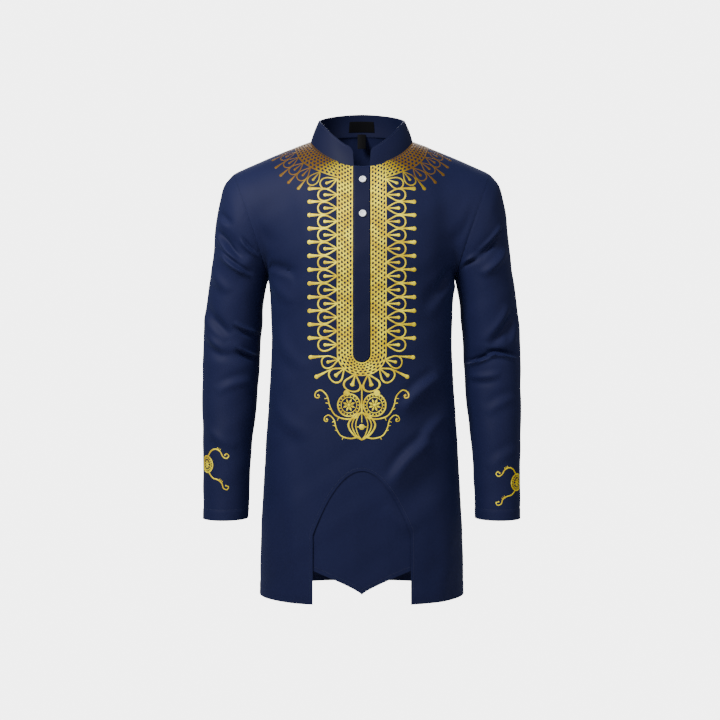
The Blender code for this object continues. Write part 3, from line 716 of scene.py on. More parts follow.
def goldFinish():
    finish = Finish("goldPrint", Metallic=0.20)
    finish.set("Specular IOR Level", 0.05)
    place = finish.place()
    height = finish.node("ShaderNodeSeparateXYZ", {}, {"Vector": place}, output="Z")
    side = finish.node("ShaderNodeSeparateXYZ", {}, {"Vector": place}, output="X")
    blotch = finish.noise(place, 55.0, 3.0, 0.6)
    grain = finish.noise(place, 900.0, 2.0)
    pale, gold, bronzePaintedReflection = (shade(colours[name]) for name in ("goldPaleHighlight", "gold", "bronzePaintedReflection"))
    # random blotches of paler gold: partly the foil's own tone, partly painted highlight streaks
    goldAndPaintedHighlights = finish.mix(finish.ramp(blotch, (0.40, 0.0), (0.66, 1.0)), gold, pale)
    # painted reflection: the foil is painted dark bronze where the print climbs onto the shoulders and faces
    # upwards, standing in for the dark it reflects there
    reach = side.math("ABSOLUTE", side)
    upwards = (height + 0.090 + (reach - 0.045) * 0.85) * 17 + (blotch - 0.5) * 0.7
    finish.set("Base Color", finish.mix(finish.ramp(upwards, (0.0, 0.0), (1.0, 1.0)), goldAndPaintedHighlights, bronzePaintedReflection))
    finish.set("Roughness", 0.38 + grain * 0.14)
    finish.bump(grain, 0.00008, 0.5)
    return finish.material


goldPrint = goldFinish()
print("materials ready")

# Panels
frontPanel = {"columns": 150, "rows": 176, "armpitShare": 0.70, "cutSize": (0.60, 0.80)}
backPanel = {"columns": 112, "rows": 150, "armpitShare": 0.70, "cutSize": (0.56, 0.88)}
arch = {"halfWidth": 0.0860, "spring": -0.709, "top": -0.597, "lap": 0.008}


def panelPlace(side, settings, flip):
    def place(grid):
        u, level = grid[:, 0] * flip, (grid[:, 1] + 1) / 2
        split = settings["armpitShare"]
        v = np.clip(np.where(level < split, level / split - 1, (level - split) / (1 - split)), -1, 1)
        points, _ = panelSurface(side, u, v, shirt["wall"] / 2)
        nearSeam = np.clip(1 - np.abs(points[:, 1]) / 0.01, 0, 1)
        points[:, 1] += facing[side] * 0.00012 * nearSeam
        return points
    return place


def archHeight(x):
    return arch["top"] - (arch["top"] - arch["spring"]) * (x / arch["halfWidth"]) ** 2


def archCutter():
    cutter = newGrid("archCutter", 48, 1)
    low = shirt["hemHeight"] - 0.03
    placeVerts(cutter, lambda g: joined(
        arch["halfWidth"] * g[:, 0],
        -0.205,
        np.where(g[:, 1] > 0, archHeight(arch["halfWidth"] * g[:, 0]), low),
    ))
    editAll(cutter)
    bpy.ops.mesh.extrude_region_move(TRANSFORM_OT_translate={"value": (0, 0.195, 0)})
    bpy.ops.mesh.select_all(action="SELECT")
    bpy.ops.mesh.normals_make_consistent(inside=False)
    bpy.ops.object.mode_set(mode="OBJECT")
    return cutter


def makePanel(side, settings, flip):
    panel = newGrid(side + "_cloth", settings["columns"], settings["rows"], settings["cutSize"])
    placeVerts(panel, panelPlace(side, settings, flip))
    return panel


front = makePanel("front", frontPanel, 1)
frontSkin = BVHTree.FromPolygons(
    [vert.co.copy() for vert in front.data.vertices],
    [tuple(face.vertices) for face in front.data.polygons],
)
giveWall(front, shirt["wall"])
cutOut(front, archCutter())


def pressArchEdge(verts):       # the outer corner of the cut edge is pressed flat
    across, up = np.abs(verts[:, 0]), verts[:, 2]
    curve = archHeight(np.minimum(across, arch["halfWidth"]))
    onArch = (across < arch["halfWidth"] + 0.0005) & (np.abs(up - curve) < 0.0012)
    onSide = (np.abs(across - arch["halfWidth"]) < 0.0005) & (up < arch["spring"])
    flat, _ = offFront(verts[:, 0], up, 0.45 * shirt["wall"])
    pressed = verts.copy()
    chosen = (onArch | onSide) & (verts[:, 1] < flat[:, 1])
    pressed[chosen, 1] = flat[chosen, 1]
    return pressed


placeVerts(front, pressArchEdge)
smooth(front)
finishPiece(front, shirting, "front")

back = makePanel("back", backPanel, -1)
giveWall(back, shirt["wall"])
smooth(back)
finishPiece(back, shirting, "back")
print("panels made")

tab = {"columns": 60, "rows": 56, "sideHem": -0.772, "point": -0.812, "lift": -0.0017}


def tabHem(x):
    share = np.abs(x) / arch["halfWidth"]
    return tab["point"] + (tab["sideHem"] - tab["point"]) * share**0.8


def tabPlace(grid):
    x = (arch["halfWidth"] + arch["lap"]) * grid[:, 0]
    low = tabHem(x)
    high = archHeight(np.clip(x, -arch["halfWidth"], arch["halfWidth"])) + arch["lap"]
    z = low + (high - low) * (grid[:, 1] + 1) / 2
    fall = 0.0016 * np.sin(x * 58 + 0.6) * np.sin((z + 0.62) * 14)     # the loose panel waves a little
    return offFront(x, z, tab["lift"] + np.minimum(fall, 0) + shirt["wall"] / 2)[0]


frontTab = newGrid("front_tab_cloth", tab["columns"], tab["rows"], (0.19, 0.21))
placeVerts(frontTab, tabPlace)
giveWall(frontTab, shirt["wall"])
smooth(frontTab)
finishPiece(frontTab, shirting, "front_tab")

# Sleeves
sleeve = {"around": 116, "down": 240, "cutSize": (0.34, 0.62)}


def makeSleeve(name, mirror):
    made = newGrid(name + "_cloth", sleeve["around"], sleeve["down"], sleeve["cutSize"])

    def place(grid):
        turn = mirror * math.pi * grid[:, 0]
        along = lastRing * (1 - grid[:, 1]) / 2
        return sleeveSurface(mirror, along, turn, shirt["wall"] / 2)[0]

    placeVerts(made, place)
    editAll(made)
    bpy.ops.mesh.remove_doubles(threshold=0.00002)
    bpy.ops.object.mode_set(mode="OBJECT")
    giveWall(made, shirt["wall"])
    smooth(made)
    return finishPiece(made, shirting, name)


sleeveLeft = makeSleeve("sleeve_left", 1)
sleeveRight = makeSleeve("sleeve_right", -1)
print("sleeves made")

# Collar
collar = {"end": math.radians(8.6), "flare": math.radians(2.4), "corner": 0.009, "wall": 0.0023, "rows": 14}


def collarTurns():
    reach = collar["corner"] / shirt["neckFront"]
    ends = collar["end"] + reach * np.linspace(0, 1, 15) ** 1.6
    middle = np.linspace(ends[-1], 2 * math.pi - ends[-1], 170)[1:-1]
    return np.concatenate([ends, middle, (2 * math.pi - ends)[::-1]])


def collarPlace(grid):
    turns = collarTurns()
    turn = np.interp((grid[:, 0] + 1) / 2 * (len(turns) - 1), np.arange(len(turns)), turns)
    turn = wrapped(turn)
    level = (grid[:, 1] + 1) / 2
    fromEnd = np.clip((np.abs(turn) - collar["end"]) * shirt["neckFront"], 0, collar["corner"])
    drop = collar["corner"] - np.sqrt(collar["corner"] ** 2 - (collar["corner"] - fromEnd) ** 2)
    share = level * (1 - drop / 0.034)
    flare = collar["flare"] * share * np.clip(1 - (np.abs(turn) - collar["end"]) / 0.5, 0, None)
    return collarPoint(turn + np.copysign(flare, turn), share)[0]


collarBand = newGrid("collar_cloth", len(collarTurns()) - 1, collar["rows"], (0.53, 0.045))
placeVerts(collarBand, collarPlace)
giveWall(collarBand, collar["wall"], 0.0)
bevel(collarBand, 0.0008, 3)
smooth(collarBand, 35)
# the collar gets the darker navy, painted shade
finishPiece(collarBand, shadedNavyCloth, "collar")

# Placket
placket = {
    "halfWidth": 0.0137,
    "end": -0.4056,
    "roundShare": 0.10,        # of its rows
    "rows": 150,
    "columns": 10,
    "lift": 0.0016,
}
roundCentre = placket["end"] + placket["halfWidth"]


def placketPlace(grid):
    top = -shirt["neckDrop"] - 0.0020
    level = (grid[:, 1] + 1) / 2
    roundShare = placket["roundShare"]
    turn = math.pi / 2 * np.clip(level / roundShare, 0.04, 1)
    rising = roundCentre - placket["halfWidth"] * np.cos(turn)
    straight = roundCentre + (top - roundCentre) * np.clip((level - roundShare) / (1 - roundShare), 0, 1)
    z = np.where(level < roundShare, rising, straight)
    halfWidth = placket["halfWidth"] * np.sin(turn)
    return offFront(halfWidth * grid[:, 0], z, placket["lift"] + shirt["wall"] / 2)[0]


placketStrip = newGrid("placket_cloth", placket["columns"], placket["rows"], (0.027, 0.35))
placeVerts(placketStrip, placketPlace)
giveWall(placketStrip, shirt["wall"])
bevel(placketStrip, 0.0005)
smooth(placketStrip)
# the placket gets the darker navy, painted shade
finishPiece(placketStrip, shadedNavyCloth, "placket")
print("collar and placket made")

# Buttons
button = {
    "radius": 0.0062,
    "thickness": 0.0026,
    "x": 0.0015,
    "heights": {"button_upper": -0.0850, "button_lower": -0.1470},
    "holeRadius": 0.00075,
    "holeReach": 0.0016,
    "foot": 0.93,              # share of the radius
    # shares of the radius and the thickness, from the foot over the rim to the well with the holes
    "profile": [(1.0, 0.30), (1.0, 0.62), (0.95, 0.85), (0.86, 0.98), (0.76, 0.97), (0.68, 0.80),
                (0.60, 0.55), (0.50, 0.46)],
    "strandRadius": 0.00022,
    "strandGap": 0.00030,
    "strandBow": 0.00030,
}


def threadFinish(name, colour):
    finish = Finish(name, Roughness=0.6)
    strand = finish.noise(finish.place(), 2600.0, 1.0)
    finish.set("Base Color", finish.mix(strand, shade(colour, 0.8), shade(colour, 1.15)))
    finish.bump(strand, 0.0001, 0.6)
    return finish.material


def resinFinish():
    finish = Finish("buttonResin", Roughness=0.28)
    finish.set("Specular IOR Level", 0.5)
    swirl = finish.noise(finish.place(), 240.0, 3.0)
    cloudy = finish.ramp(swirl, (0.35, 0.0), (0.7, 1.0))
    finish.set("Base Color", finish.mix(cloudy, shade(colours["button"]), shade(colours["buttonShade"])))
    finish.set("Roughness", 0.24 + swirl * 0.12)
    return finish.material


buttonResin = resinFinish()
whiteThread = threadFinish("buttonThread", colours["whiteThread"])
navyThread = threadFinish("navyThread", colours["navyThread"])


def buttonPlace(height, lift):      # turns the XY plane onto the placket at the button's place
    point, normal = offFront(np.array([button["x"]]), np.array([height]), lift)
    turned = np.array(Vector(normal[0]).to_track_quat("Z", "Y").to_matrix())
    return lambda c: c @ turned.T + point[0]


def makeButton():
    at, level = button["foot"], 0.0
    startRadius = button["radius"] * at
    disc = added(bpy.ops.mesh.primitive_circle_add, vertices=48, radius=startRadius, fill_type="NGON")
    editAll(disc)
    for radius, share in button["profile"]:
        rise = (share - level) * button["thickness"]
        bpy.ops.mesh.extrude_region_move(TRANSFORM_OT_translate={"value": (0, 0, rise)})
        bpy.ops.transform.resize(value=(radius / at, radius / at, 1))
        at, level = radius, share
    bpy.ops.mesh.select_all(action="DESELECT")
    bpy.ops.object.mode_set(mode="OBJECT")
    pickOnly(disc)
    bpy.ops.object.mode_set(mode="EDIT")
    bpy.ops.mesh.select_non_manifold()
    bpy.ops.mesh.edge_face_add()
    bpy.ops.mesh.select_all(action="SELECT")
    bpy.ops.mesh.normals_make_consistent(inside=False)
    bpy.ops.object.mode_set(mode="OBJECT")
    hole = {"vertices": 16, "radius": button["holeRadius"], "depth": 0.01}
    for i in range(4):
        turn = math.pi / 4 + i * math.pi / 2
        spot = (button["holeReach"] * math.cos(turn), button["holeReach"] * math.sin(turn), 0)
        cutOut(disc, added(bpy.ops.mesh.primitive_cylinder_add, location=spot, **hole))
    return disc


def makeThreads():
    strands = []
    reach, level = button["holeReach"] * 0.707, button["thickness"] * button["profile"][-1][1]
    depth = 2 * button["holeReach"] * 0.95
    for sign in (-1, 1):
        for strand in (-1, 0, 1):
            thread = added(
                bpy.ops.mesh.primitive_cylinder_add, vertices=8, radius=button["strandRadius"], depth=depth
            )
            editAll(thread)
            bpy.ops.mesh.subdivide(number_cuts=3)
            bpy.ops.object.mode_set(mode="OBJECT")

            def place(c, sign=sign, strand=strand):
                bow = button["strandBow"] * np.cos(np.clip(c[:, 2] / reach, -1, 1) * math.pi / 2)
                x = sign * reach + c[:, 0] + strand * button["strandGap"]
                return joined(x, c[:, 2] * 0.9, level + c[:, 1] + bow)

            placeVerts(thread, place)
            strands.append(thread)
    return joinAll(strands, "buttonThreads")


firstButton = makeButton()
firstThreads = makeThreads()
for name, height in button["heights"].items():
    place = buttonPlace(height, placket["lift"] + shirt["wall"] / 2 + 0.00015)
    for shape, ending, degrees, material, node in (
        (firstButton, "_disc", 40, buttonResin, name),
        (firstThreads, "_thread", 60, whiteThread, None),
    ):
        made = copyOf(shape, name + ending)
        placeVerts(made, place)
        smooth(made, degrees)
        finishPiece(made, material, node)
discard(firstButton, firstThreads)
print("buttons made")

# Bare labels inside the neck
labels = {
    "neck": {"halfWidth": 0.0255, "bottom": 0.22, "top": 0.70, "wall": 0.0006},
    "size": {"halfWidth": 0.0078, "bottom": -0.0200, "top": 0.0080, "wall": 0.0005},
}


def satinFinish():
    finish = Finish("labelSatin", Roughness=0.60)
    finish.set("Specular IOR Level", 0.04)
    ribs = finish.noise(finish.clothUv((300, 2600, 1)), 1.0, 1.0)
    finish.set("Base Color", finish.mix(ribs, shade(colours["label"]), shade(colours["labelRib"])))
    finish.set("Roughness", 0.52 + ribs * 0.16)
    finish.bump(ribs, 0.0001, 0.4)
    return finish.material


labelSatin = satinFinish()


def insideCollar(x, share, lift):
    points, outwards = collarPoint(wrapped(math.pi - np.arcsin(x / shirt["neckHalfWidth"])), share)
    return points - outwards * lift[:, None]


def neckLabelPlace(grid):
    made = labels["neck"]
    x = -made["halfWidth"] * grid[:, 0]
    share = made["bottom"] + (made["top"] - made["bottom"]) * (grid[:, 1] + 1) / 2
    edge = hump(1 - np.abs(grid[:, 0]), 0.06)
    lift = collar["wall"] / 2 + 0.0002 + made["wall"] / 2 + 0.0004 * (1 - edge) * (1 - grid[:, 1] ** 2)
    return insideCollar(x, share, lift)


def sizeTabPlace(grid):
    made = labels["size"]
    seam, _ = collarPoint(np.array([math.pi]), np.array([0.12]))
    share = (grid[:, 1] + 1) / 2
    y = seam[0, 1] - 0.0024 - 0.004 * (1 - share) ** 1.5 - 0.0006 * np.cos(grid[:, 0] * math.pi / 2)
    z = seam[0, 2] - (1 - share) * (made["top"] - made["bottom"])
    return joined(-made["halfWidth"] * grid[:, 0], y, z)


neckLabel = newGrid("neck_label_satin", 40, 14, (0.051, 0.020))
placeVerts(neckLabel, neckLabelPlace)
sizeTab = newGrid("size_tab_satin", 12, 20, (0.0156, 0.028))
placeVerts(sizeTab, sizeTabPlace)
for made, kind, node in ((neckLabel, "neck", "neck_label"), (sizeTab, "size", "size_tab")):
    giveWall(made, labels[kind]["wall"], 0.0)
    bevel(made, 0.00015)
    smooth(made, 40)
    finishPiece(made, labelSatin, node)
print("labels made")

# Sewing: one small stitch is modelled, then laid end to end along each seam
stitch = {"length": 0.0023, "pitch": 0.0029, "radius": 0.00023}


def makeStitch():
    made = added(bpy.ops.mesh.primitive_uv_sphere_add, segments=6, ring_count=4, rotation=(0, math.pi / 2, 0))
    bpy.ops.object.transform_apply(location=False, rotation=True, scale=True)
    size = np.array([stitch["length"] / 2, stitch["radius"], stitch["radius"]])
    placeVerts(made, lambda c: np.sign(c) * np.abs(c) ** np.array([0.7, 1, 1]) * size)
    return made


oneStitch = makeStitch()


def sewRow(name, points, normals, onPiece):
    steps = np.linalg.norm(np.diff(points, axis=0), axis=1)
    run = np.concatenate([[0], np.cumsum(steps)])
    count = max(int(run[-1] / stitch["pitch"]), 2)
    made = copyOf(oneStitch, name)
    repeat(made, count, (run[-1] / count, 0, 0))
    tangents = unit(np.gradient(points, run, axis=0))
    sideways = unit(np.cross(normals, tangents))

    def place(c):
        at = np.clip(c[:, 0] + run[-1] / count / 2, 0, run[-1])

        def read(columns):
            return np.stack([np.interp(at, run, columns[:, k]) for k in range(3)], axis=-1)

        return read(points) + read(sideways) * c[:, 1:2] + read(unit(normals)) * c[:, 2:3]

    placeVerts(made, place)
    smooth(made, 80)
    rows.append((made, onPiece))
    finishPiece(made, navyThread)


rows = []
stitchGap = 0.00005         # between a stitch's axis and the cloth's skin
stitchLift = shirt["wall"] / 2 + stitchGap


def frontRow(name, x, z, lift=stitchLift, piece=front):
    sewRow(name, *offFront(x, z, lift), piece)


hemLine = shirt["hemHeight"] + shirt["turnUp"]["stitches"]
hemLevel = (hemLine - shirt["armpitHeight"]) / (shirt["armpitHeight"] - shirt["hemHeight"])
hemStart = float(frontAt(np.array([arch["halfWidth"] + 0.004]), np.array([hemLine]))[0][0])
hemEnd = 0.985              # just short of the side seam
for name, side, start, end, piece in (
    ("left", "front", -hemEnd, -hemStart, front),
    ("right", "front", hemStart, hemEnd, front),
    ("back", "back", -hemEnd, hemEnd, back),
):
    u, v = np.linspace(start, end, 260), np.full(260, hemLevel)
    sewRow("hem_stitches_" + name, *panelSurface(side, u, v, stitchLift), piece)

archReach = arch["halfWidth"] + 0.0045
archX = np.linspace(-1, 1, 300) * archReach
archZ = arch["top"] + 0.0052 - (arch["top"] - arch["spring"]) * (archX / archReach) ** 2
frontRow("arch_stitches", archX, archZ)
for sign, name in bothSides:
    sideZ = np.linspace(arch["spring"] + 0.004, hemLine, 120)
    frontRow("arch_side_stitches_" + name, np.full(120, sign * archReach), sideZ)

tabX = np.linspace(-1, 1, 240) * (arch["halfWidth"] - 0.002)
frontRow("tab_stitches", tabX, tabHem(tabX) + 0.0075, tab["lift"] + stitchLift, frontTab)

for mirror, name, piece in ((1, "left", sleeveLeft), (-1, "right", sleeveRight)):
    turn = np.linspace(-math.pi, math.pi, 200)
    along = np.full(200, lastRing - shirt["turnUp"]["stitches"] / cuffRingGap)
    sewRow("cuff_stitches_" + name, *sleeveSurface(mirror, along, turn, stitchLift), piece)

inner = placket["halfWidth"] - 0.0016
placketLift = placket["lift"] + stitchLift
for sign, name in bothSides:
    stripZ = np.linspace(roundCentre, -shirt["neckDrop"] - 0.004, 200)
    frontRow("placket_stitches_" + name, np.full(200, sign * inner), stripZ, placketLift, placketStrip)
roundTurn = np.linspace(-math.pi / 2, math.pi / 2, 60)
roundX, roundZ = inner * np.sin(roundTurn), roundCentre - inner * np.cos(roundTurn)
frontRow("placket_end_stitches", roundX, roundZ, placketLift, placketStrip)

turn = wrapped(np.linspace(collar["end"] + 0.12, 2 * math.pi - collar["end"] - 0.12, 500))
for share, name in ((0.93, "top"), (0.06, "foot")):
    points, outwards = collarPoint(turn, np.full(500, share))
    points = points + outwards * (collar["wall"] / 2 + stitchGap)
    sewRow("collar_stitches_" + name, points, outwards, collarBand)
discard(oneStitch)
print("sewing made")

# The gold print is drawn flat, in metres, p away from the band's edge and q along it, then laid on the cloth.
# Height 0 is the cloth's skin; the edges of each line sink a little into it.
goldLine = {"height": 0.00026, "sunk": -0.00012, "across": 4, "bold": 1.18}


def lineHeight(side, extra=0.0):        # side goes from -1 to 1 across a line
    return goldLine["sunk"] + (goldLine["height"] + extra - goldLine["sunk"]) * (1 - side**2) ** 0.6


def ribbon(name, keys, widths, count, closed=False):       # a rounded line through the key points
    keys = np.asarray(keys, float)
    share = np.linspace(0, 1, count + 1)
    steps = np.linalg.norm(np.diff(keys, axis=0), axis=1)
    at = np.concatenate([[0], np.cumsum(steps)]) / steps.sum()
    line = np.stack([smoothCurve(at, keys[:, k], share) for k in range(2)], axis=-1)
    half = goldLine["bold"] * np.interp(share, np.linspace(0, 1, len(widths)), widths)
    ahead = np.gradient(line, axis=0)
    if closed:
        ahead[0] = ahead[-1] = line[1] - line[-2]
    ahead = ahead / np.linalg.norm(ahead, axis=1, keepdims=True)
    made = newGrid(name, count, goldLine["across"])

    def place(grid):
        i = np.rint((grid[:, 0] + 1) / 2 * count).astype(int)
        side = grid[:, 1]
        p = line[i, 0] - ahead[i, 1] * half[i] * side
        q = line[i, 1] + ahead[i, 0] * half[i] * side
        return joined(p, q, lineHeight(side))

    placeVerts(made, place)
    return made


def bead(name, p, q, radius, height=0.0005, segments=14):
    made = added(bpy.ops.mesh.primitive_uv_sphere_add, segments=segments, ring_count=6, radius=1)
    editAll(made)
    bpy.ops.mesh.bisect(plane_co=(0, 0, -0.02), plane_no=(0, 0, 1), clear_inner=True)
    bpy.ops.object.mode_set(mode="OBJECT")
    made.name = made.data.name = name
    size, place = np.array([radius, radius, height - goldLine["sunk"]]), np.array([p, q, goldLine["sunk"]])
    placeVerts(made, lambda c: c * size + place)
    return made


petal = {                      # millimetres
    "pitch": 24,
    "half": [(-0.5, 0), (8, 5.5), (17, 10.2), (25, 10.6), (31, 6.8), (33.2, 0)],
    "lineWidth": [1.15, 1.25, 1.3, 1.3, 1.3, 1.25, 1.15],
    "stem": [(1, 0), (10, 0), (19, 0)],
    "stemWidth": [0.8, 1.2, 2.2],
    "bead": (20.8, 0, 3.0),
}
drop = {"line": [(20, 0), (33, 0), (44, 0), (50, 0)], "width": [0.8, 1.3, 2.3, 3.4], "bead": (48.3, 0, 3.9)}


def ribbonInMm(name, keys, widths, count):
    return ribbon(name, [(p * mm, q * mm) for p, q in keys], [width * mm for width in widths], count)


def makePetal():
    half = petal["half"]
    return joinAll([
        ribbonInMm("petalLine", half + [(p, -q) for p, q in reversed(half[:-1])], petal["lineWidth"], 56),
        ribbonInMm("petalStem", petal["stem"], petal["stemWidth"], 8),
        bead("petalBead", *(value * mm for value in petal["bead"])),
    ], "petal")


def makeDrop():
    line = ribbonInMm("dropLine", drop["line"], drop["width"], 14)
    return joinAll([line, bead("dropBead", *(value * mm for value in drop["bead"]))], "drop")


petalShape, dropShape = makePetal(), makeDrop()

frontReach = 0.32


def onFrontSkin(x, z, height):      # straight back from the viewer's side onto the front panel
    points, normals = np.empty((len(x), 3)), np.empty((len(x), 3))
    backwards = Vector((0, 1, 0))
    for i, (a, b) in enumerate(zip(x.tolist(), z.tolist())):
        hit, normal, _, _ = frontSkin.ray_cast(Vector((a, -frontReach, b)), backwards, frontReach)
        if hit is None:
            hit, normal, _, _ = frontSkin.find_nearest(Vector((a, -0.1, b)))
        points[i], normals[i] = hit, normal
    return points + normals * np.sign(-normals[:, 1:2]) * height[:, None]


def layOnFront(shape, name, toPlane):
    made = copyOf(shape, name)

    def place(c):
        x, z = toPlane(c[:, 0], c[:, 1])
        return onFrontSkin(x, z, c[:, 2])

    placeVerts(made, place)
    return made


def towards(x0, z0, degrees, scale=1.0, squeeze=1.0):       # p at this angle from +X, q a quarter turn on
    turn = math.radians(degrees)

    def toPlane(p, q):
        p, q = p * scale, q * scale * squeeze
        return x0 + p * math.cos(turn) - q * math.sin(turn), z0 + p * math.sin(turn) + q * math.cos(turn)

    return toPlane


# The U-shaped band round the placket
band = {
    "inner": 0.0155,
    "edge": 0.0437,
    "bottomEdge": 0.0392,
    "middle": 0.0295,
    "centre": roundCentre,
    "length": 0.33,            # of each straight side
    "columns": 5,
    "rows": 98,
}


def neckLine(x):                    # the height of the neck seam over x
    across = np.clip(np.abs(x) / shirt["neckHalfWidth"], 0, 1)
    return -shirt["neckDrop"] * np.sqrt(1 - across**2) ** 1.4


def bandReach(turn):                # the outer edge's distance, turn being 0 at the bottom
    return band["edge"] - (band["edge"] - band["bottomEdge"]) * np.clip(np.cos(turn), 0, 1) ** 2


def bandPlane(s, t, aside=0.0):     # s from -1 to 1 along the band, t from -1 to 1 across it, outwards
    arc = band["middle"] * math.pi / 2
    length = arc + band["length"]
    run = np.abs(s) * length
    turn = np.clip(run / arc, 0, 1) * math.pi / 2
    radius = band["inner"] + (bandReach(turn) - band["inner"]) * (1 + t) / 2 + aside
    top = neckLine(radius) - 0.0012
    rise = np.clip((run - arc) / (length - arc), 0, 1)
    z = np.where(run < arc, -radius * np.cos(turn), (top - band["centre"]) * rise)
    return np.sign(s) * radius * np.sin(turn), band["centre"] + z


net = {"lift": 0.00016, "wall": 0.00026, "holeWide": 0.92, "holeHigh": 0.84, "lean": 0.12}


def trim(point, normal, **side):
    bpy.ops.mesh.select_all(action="SELECT")
    bpy.ops.mesh.bisect(plane_co=point, plane_no=normal, **side)


def latticeStrip(name, columns, rowsOfCells):       # every other column is half a cell higher
    cells = []
    for i in (0, 1):
        cell = added(bpy.ops.mesh.primitive_circle_add, vertices=8, radius=1)
        editAll(cell)
        bpy.ops.mesh.extrude_region_move()
        bpy.ops.transform.resize(value=(2, 2, 1))
        bpy.ops.object.mode_set(mode="OBJECT")
        lean = net["lean"] * (1 - 2 * i)

        def place(c, i=i, lean=lean):
            far = np.hypot(c[:, 0], c[:, 1]) > 1.5
            square = c[:, :2] / np.maximum(np.abs(c[:, :2]).max(axis=1, keepdims=True), 1e-9)
            # a hole with three blunt corners, one pointing up or down
            round3 = np.cos(3 * (np.arctan2(c[:, 1], c[:, 0]) - (0.5 - i) * math.pi))
            blunt = (0.84 + 0.20 * round3)[:, None] * c[:, :2]
            leaning = blunt[:, 0] + lean * blunt[:, 1]
            hole = np.stack([leaning * net["holeWide"], blunt[:, 1] * net["holeHigh"]], axis=-1)
            flat = np.where(far[:, None], square, hole)
            return joined(i + 0.5 + flat[:, 0] / 2, 0.5 + (i + flat[:, 1]) / 2, 0)

        placeVerts(cell, place)
        cells.append(cell)
    strip = joinAll(cells, name)
    repeat(strip, (columns + 1) // 2, (2, 0, 0))
    repeat(strip, rowsOfCells, (0, 1, 0))
    editAll(strip)
    bpy.ops.mesh.remove_doubles(threshold=0.001)
    trim((0, 0.5, 0), (0, 1, 0), clear_inner=True)
    trim((0, rowsOfCells, 0), (0, 1, 0), clear_outer=True)
    if columns % 2:
        trim((columns, 0, 0), (1, 0, 0), clear_outer=True)
    bpy.ops.mesh.select_all(action="SELECT")
    bpy.ops.mesh.normals_make_consistent(inside=False)
    bpy.ops.object.mode_set(mode="OBJECT")
    last = rowsOfCells - 0.5
    placeVerts(strip, lambda c: joined(c[:, 0] / columns * 2 - 1, (c[:, 1] - 0.5) / last, c[:, 2]))
    if strip.data.polygons[0].normal.z < 0:
        flipFaces(strip)
    return strip        # x -1..1 across, y 0..1 along


borders = {"inner": (-1, 0.0011), "outer": (1, -0.0011)}       # the edge it follows, and how far beside that
borderHalfWidth = 0.0011
borderRise = {"band": 0.00012, "ring": 0.00034}       # how far a border's ridge stands above the other lines

bandNet = latticeStrip("band_net", band["columns"], band["rows"])


def bandNetPlace(c):
    s = c[:, 1] * 2 - 1
    x, z = bandPlane(s, c[:, 0] * 0.90)
    return onFrontSkin(x, z, np.full(len(x), net["lift"]))


def keepPrint(made, degrees=60):
    smooth(made, degrees)
    finishPiece(made, goldPrint)


placeVerts(bandNet, bandNetPlace)
printParts = [bandNet]
giveWall(bandNet, net["wall"])
for name, (edge, beside) in borders.items():
    line = newGrid("band_" + name, 420, goldLine["across"])     # x goes along it, y across it

    def place(g, edge=edge, beside=beside):
        x, z = bandPlane(g[:, 0], edge, beside + g[:, 1] * borderHalfWidth)
        return onFrontSkin(x, z, lineHeight(g[:, 1], borderRise["band"]))

    placeVerts(line, place)
    printParts.append(line)
keepPrint(joinAll(printParts, "band_print"), 40)
print("band printed")

# Petals and drops round the band
petalPitch = petal["pitch"] * mm
sidePetals = [-0.1124 - petalPitch * k for k in range(12)]
number = 0
for sign in (-1, 1):
    facingAngle = 0 if sign > 0 else 180
    for z in sidePetals:
        number += 1
        keepPrint(layOnFront(petalShape, f"petal_{number:02d}", towards(sign * band["edge"], z, facingAngle)))
    for z in [sidePetals[0] + petalPitch / 2] + [z - petalPitch / 2 for z in sidePetals[:-1]]:
        number += 1
        keepPrint(layOnFront(dropShape, f"drop_{number:02d}", towards(sign * band["edge"], z, facingAngle)))
    corner = towards(sign * band["edge"], sidePetals[0] + 0.0290, -22 if sign > 0 else 202, 0.94)
    keepPrint(layOnFront(petalShape, f"corner_petal_{number:02d}", corner))


def atBandEnd(degrees, inwards):    # a place on the band's round end
    turn = math.radians(degrees)
    reach = float(bandReach(turn + math.pi / 2)) - inwards
    return reach * math.cos(turn), band["centre"] + reach * math.sin(turn)


endPetals = {-166: 1.10, -140: 1.30, -107: 1.50, -73: 1.50, -40: 1.30, -14: 1.10}      # angle, how wide
for k, (degrees, squeeze) in enumerate(endPetals.items()):
    toPlane = towards(*atBandEnd(degrees, 0.001), degrees, 0.90, squeeze)
    keepPrint(layOnFront(petalShape, f"end_petal_{k}", toPlane))
for k, degrees in enumerate((-176, -153, -27, -4)):
    keepPrint(layOnFront(dropShape, f"end_drop_{k}", towards(*atBandEnd(degrees, 0.0), degrees, 0.97)))
print("petals printed")

# The print round the neck follows the seam: turn about the neck, and distance from the seam
neckPrint = {
    "inner": 0.0012,
    "degrees": [20, 31, 40, 49, 56, 66, 78, 90],
    "outer": [0.0375, 0.0405, 0.0445, 0.0455, 0.0440, 0.0390, 0.0340, 0.0310],
    "columns": 6,
    "rows": 19,
    "reach": 0.110,
    "turns": 121,
    "step": 0.001,
}


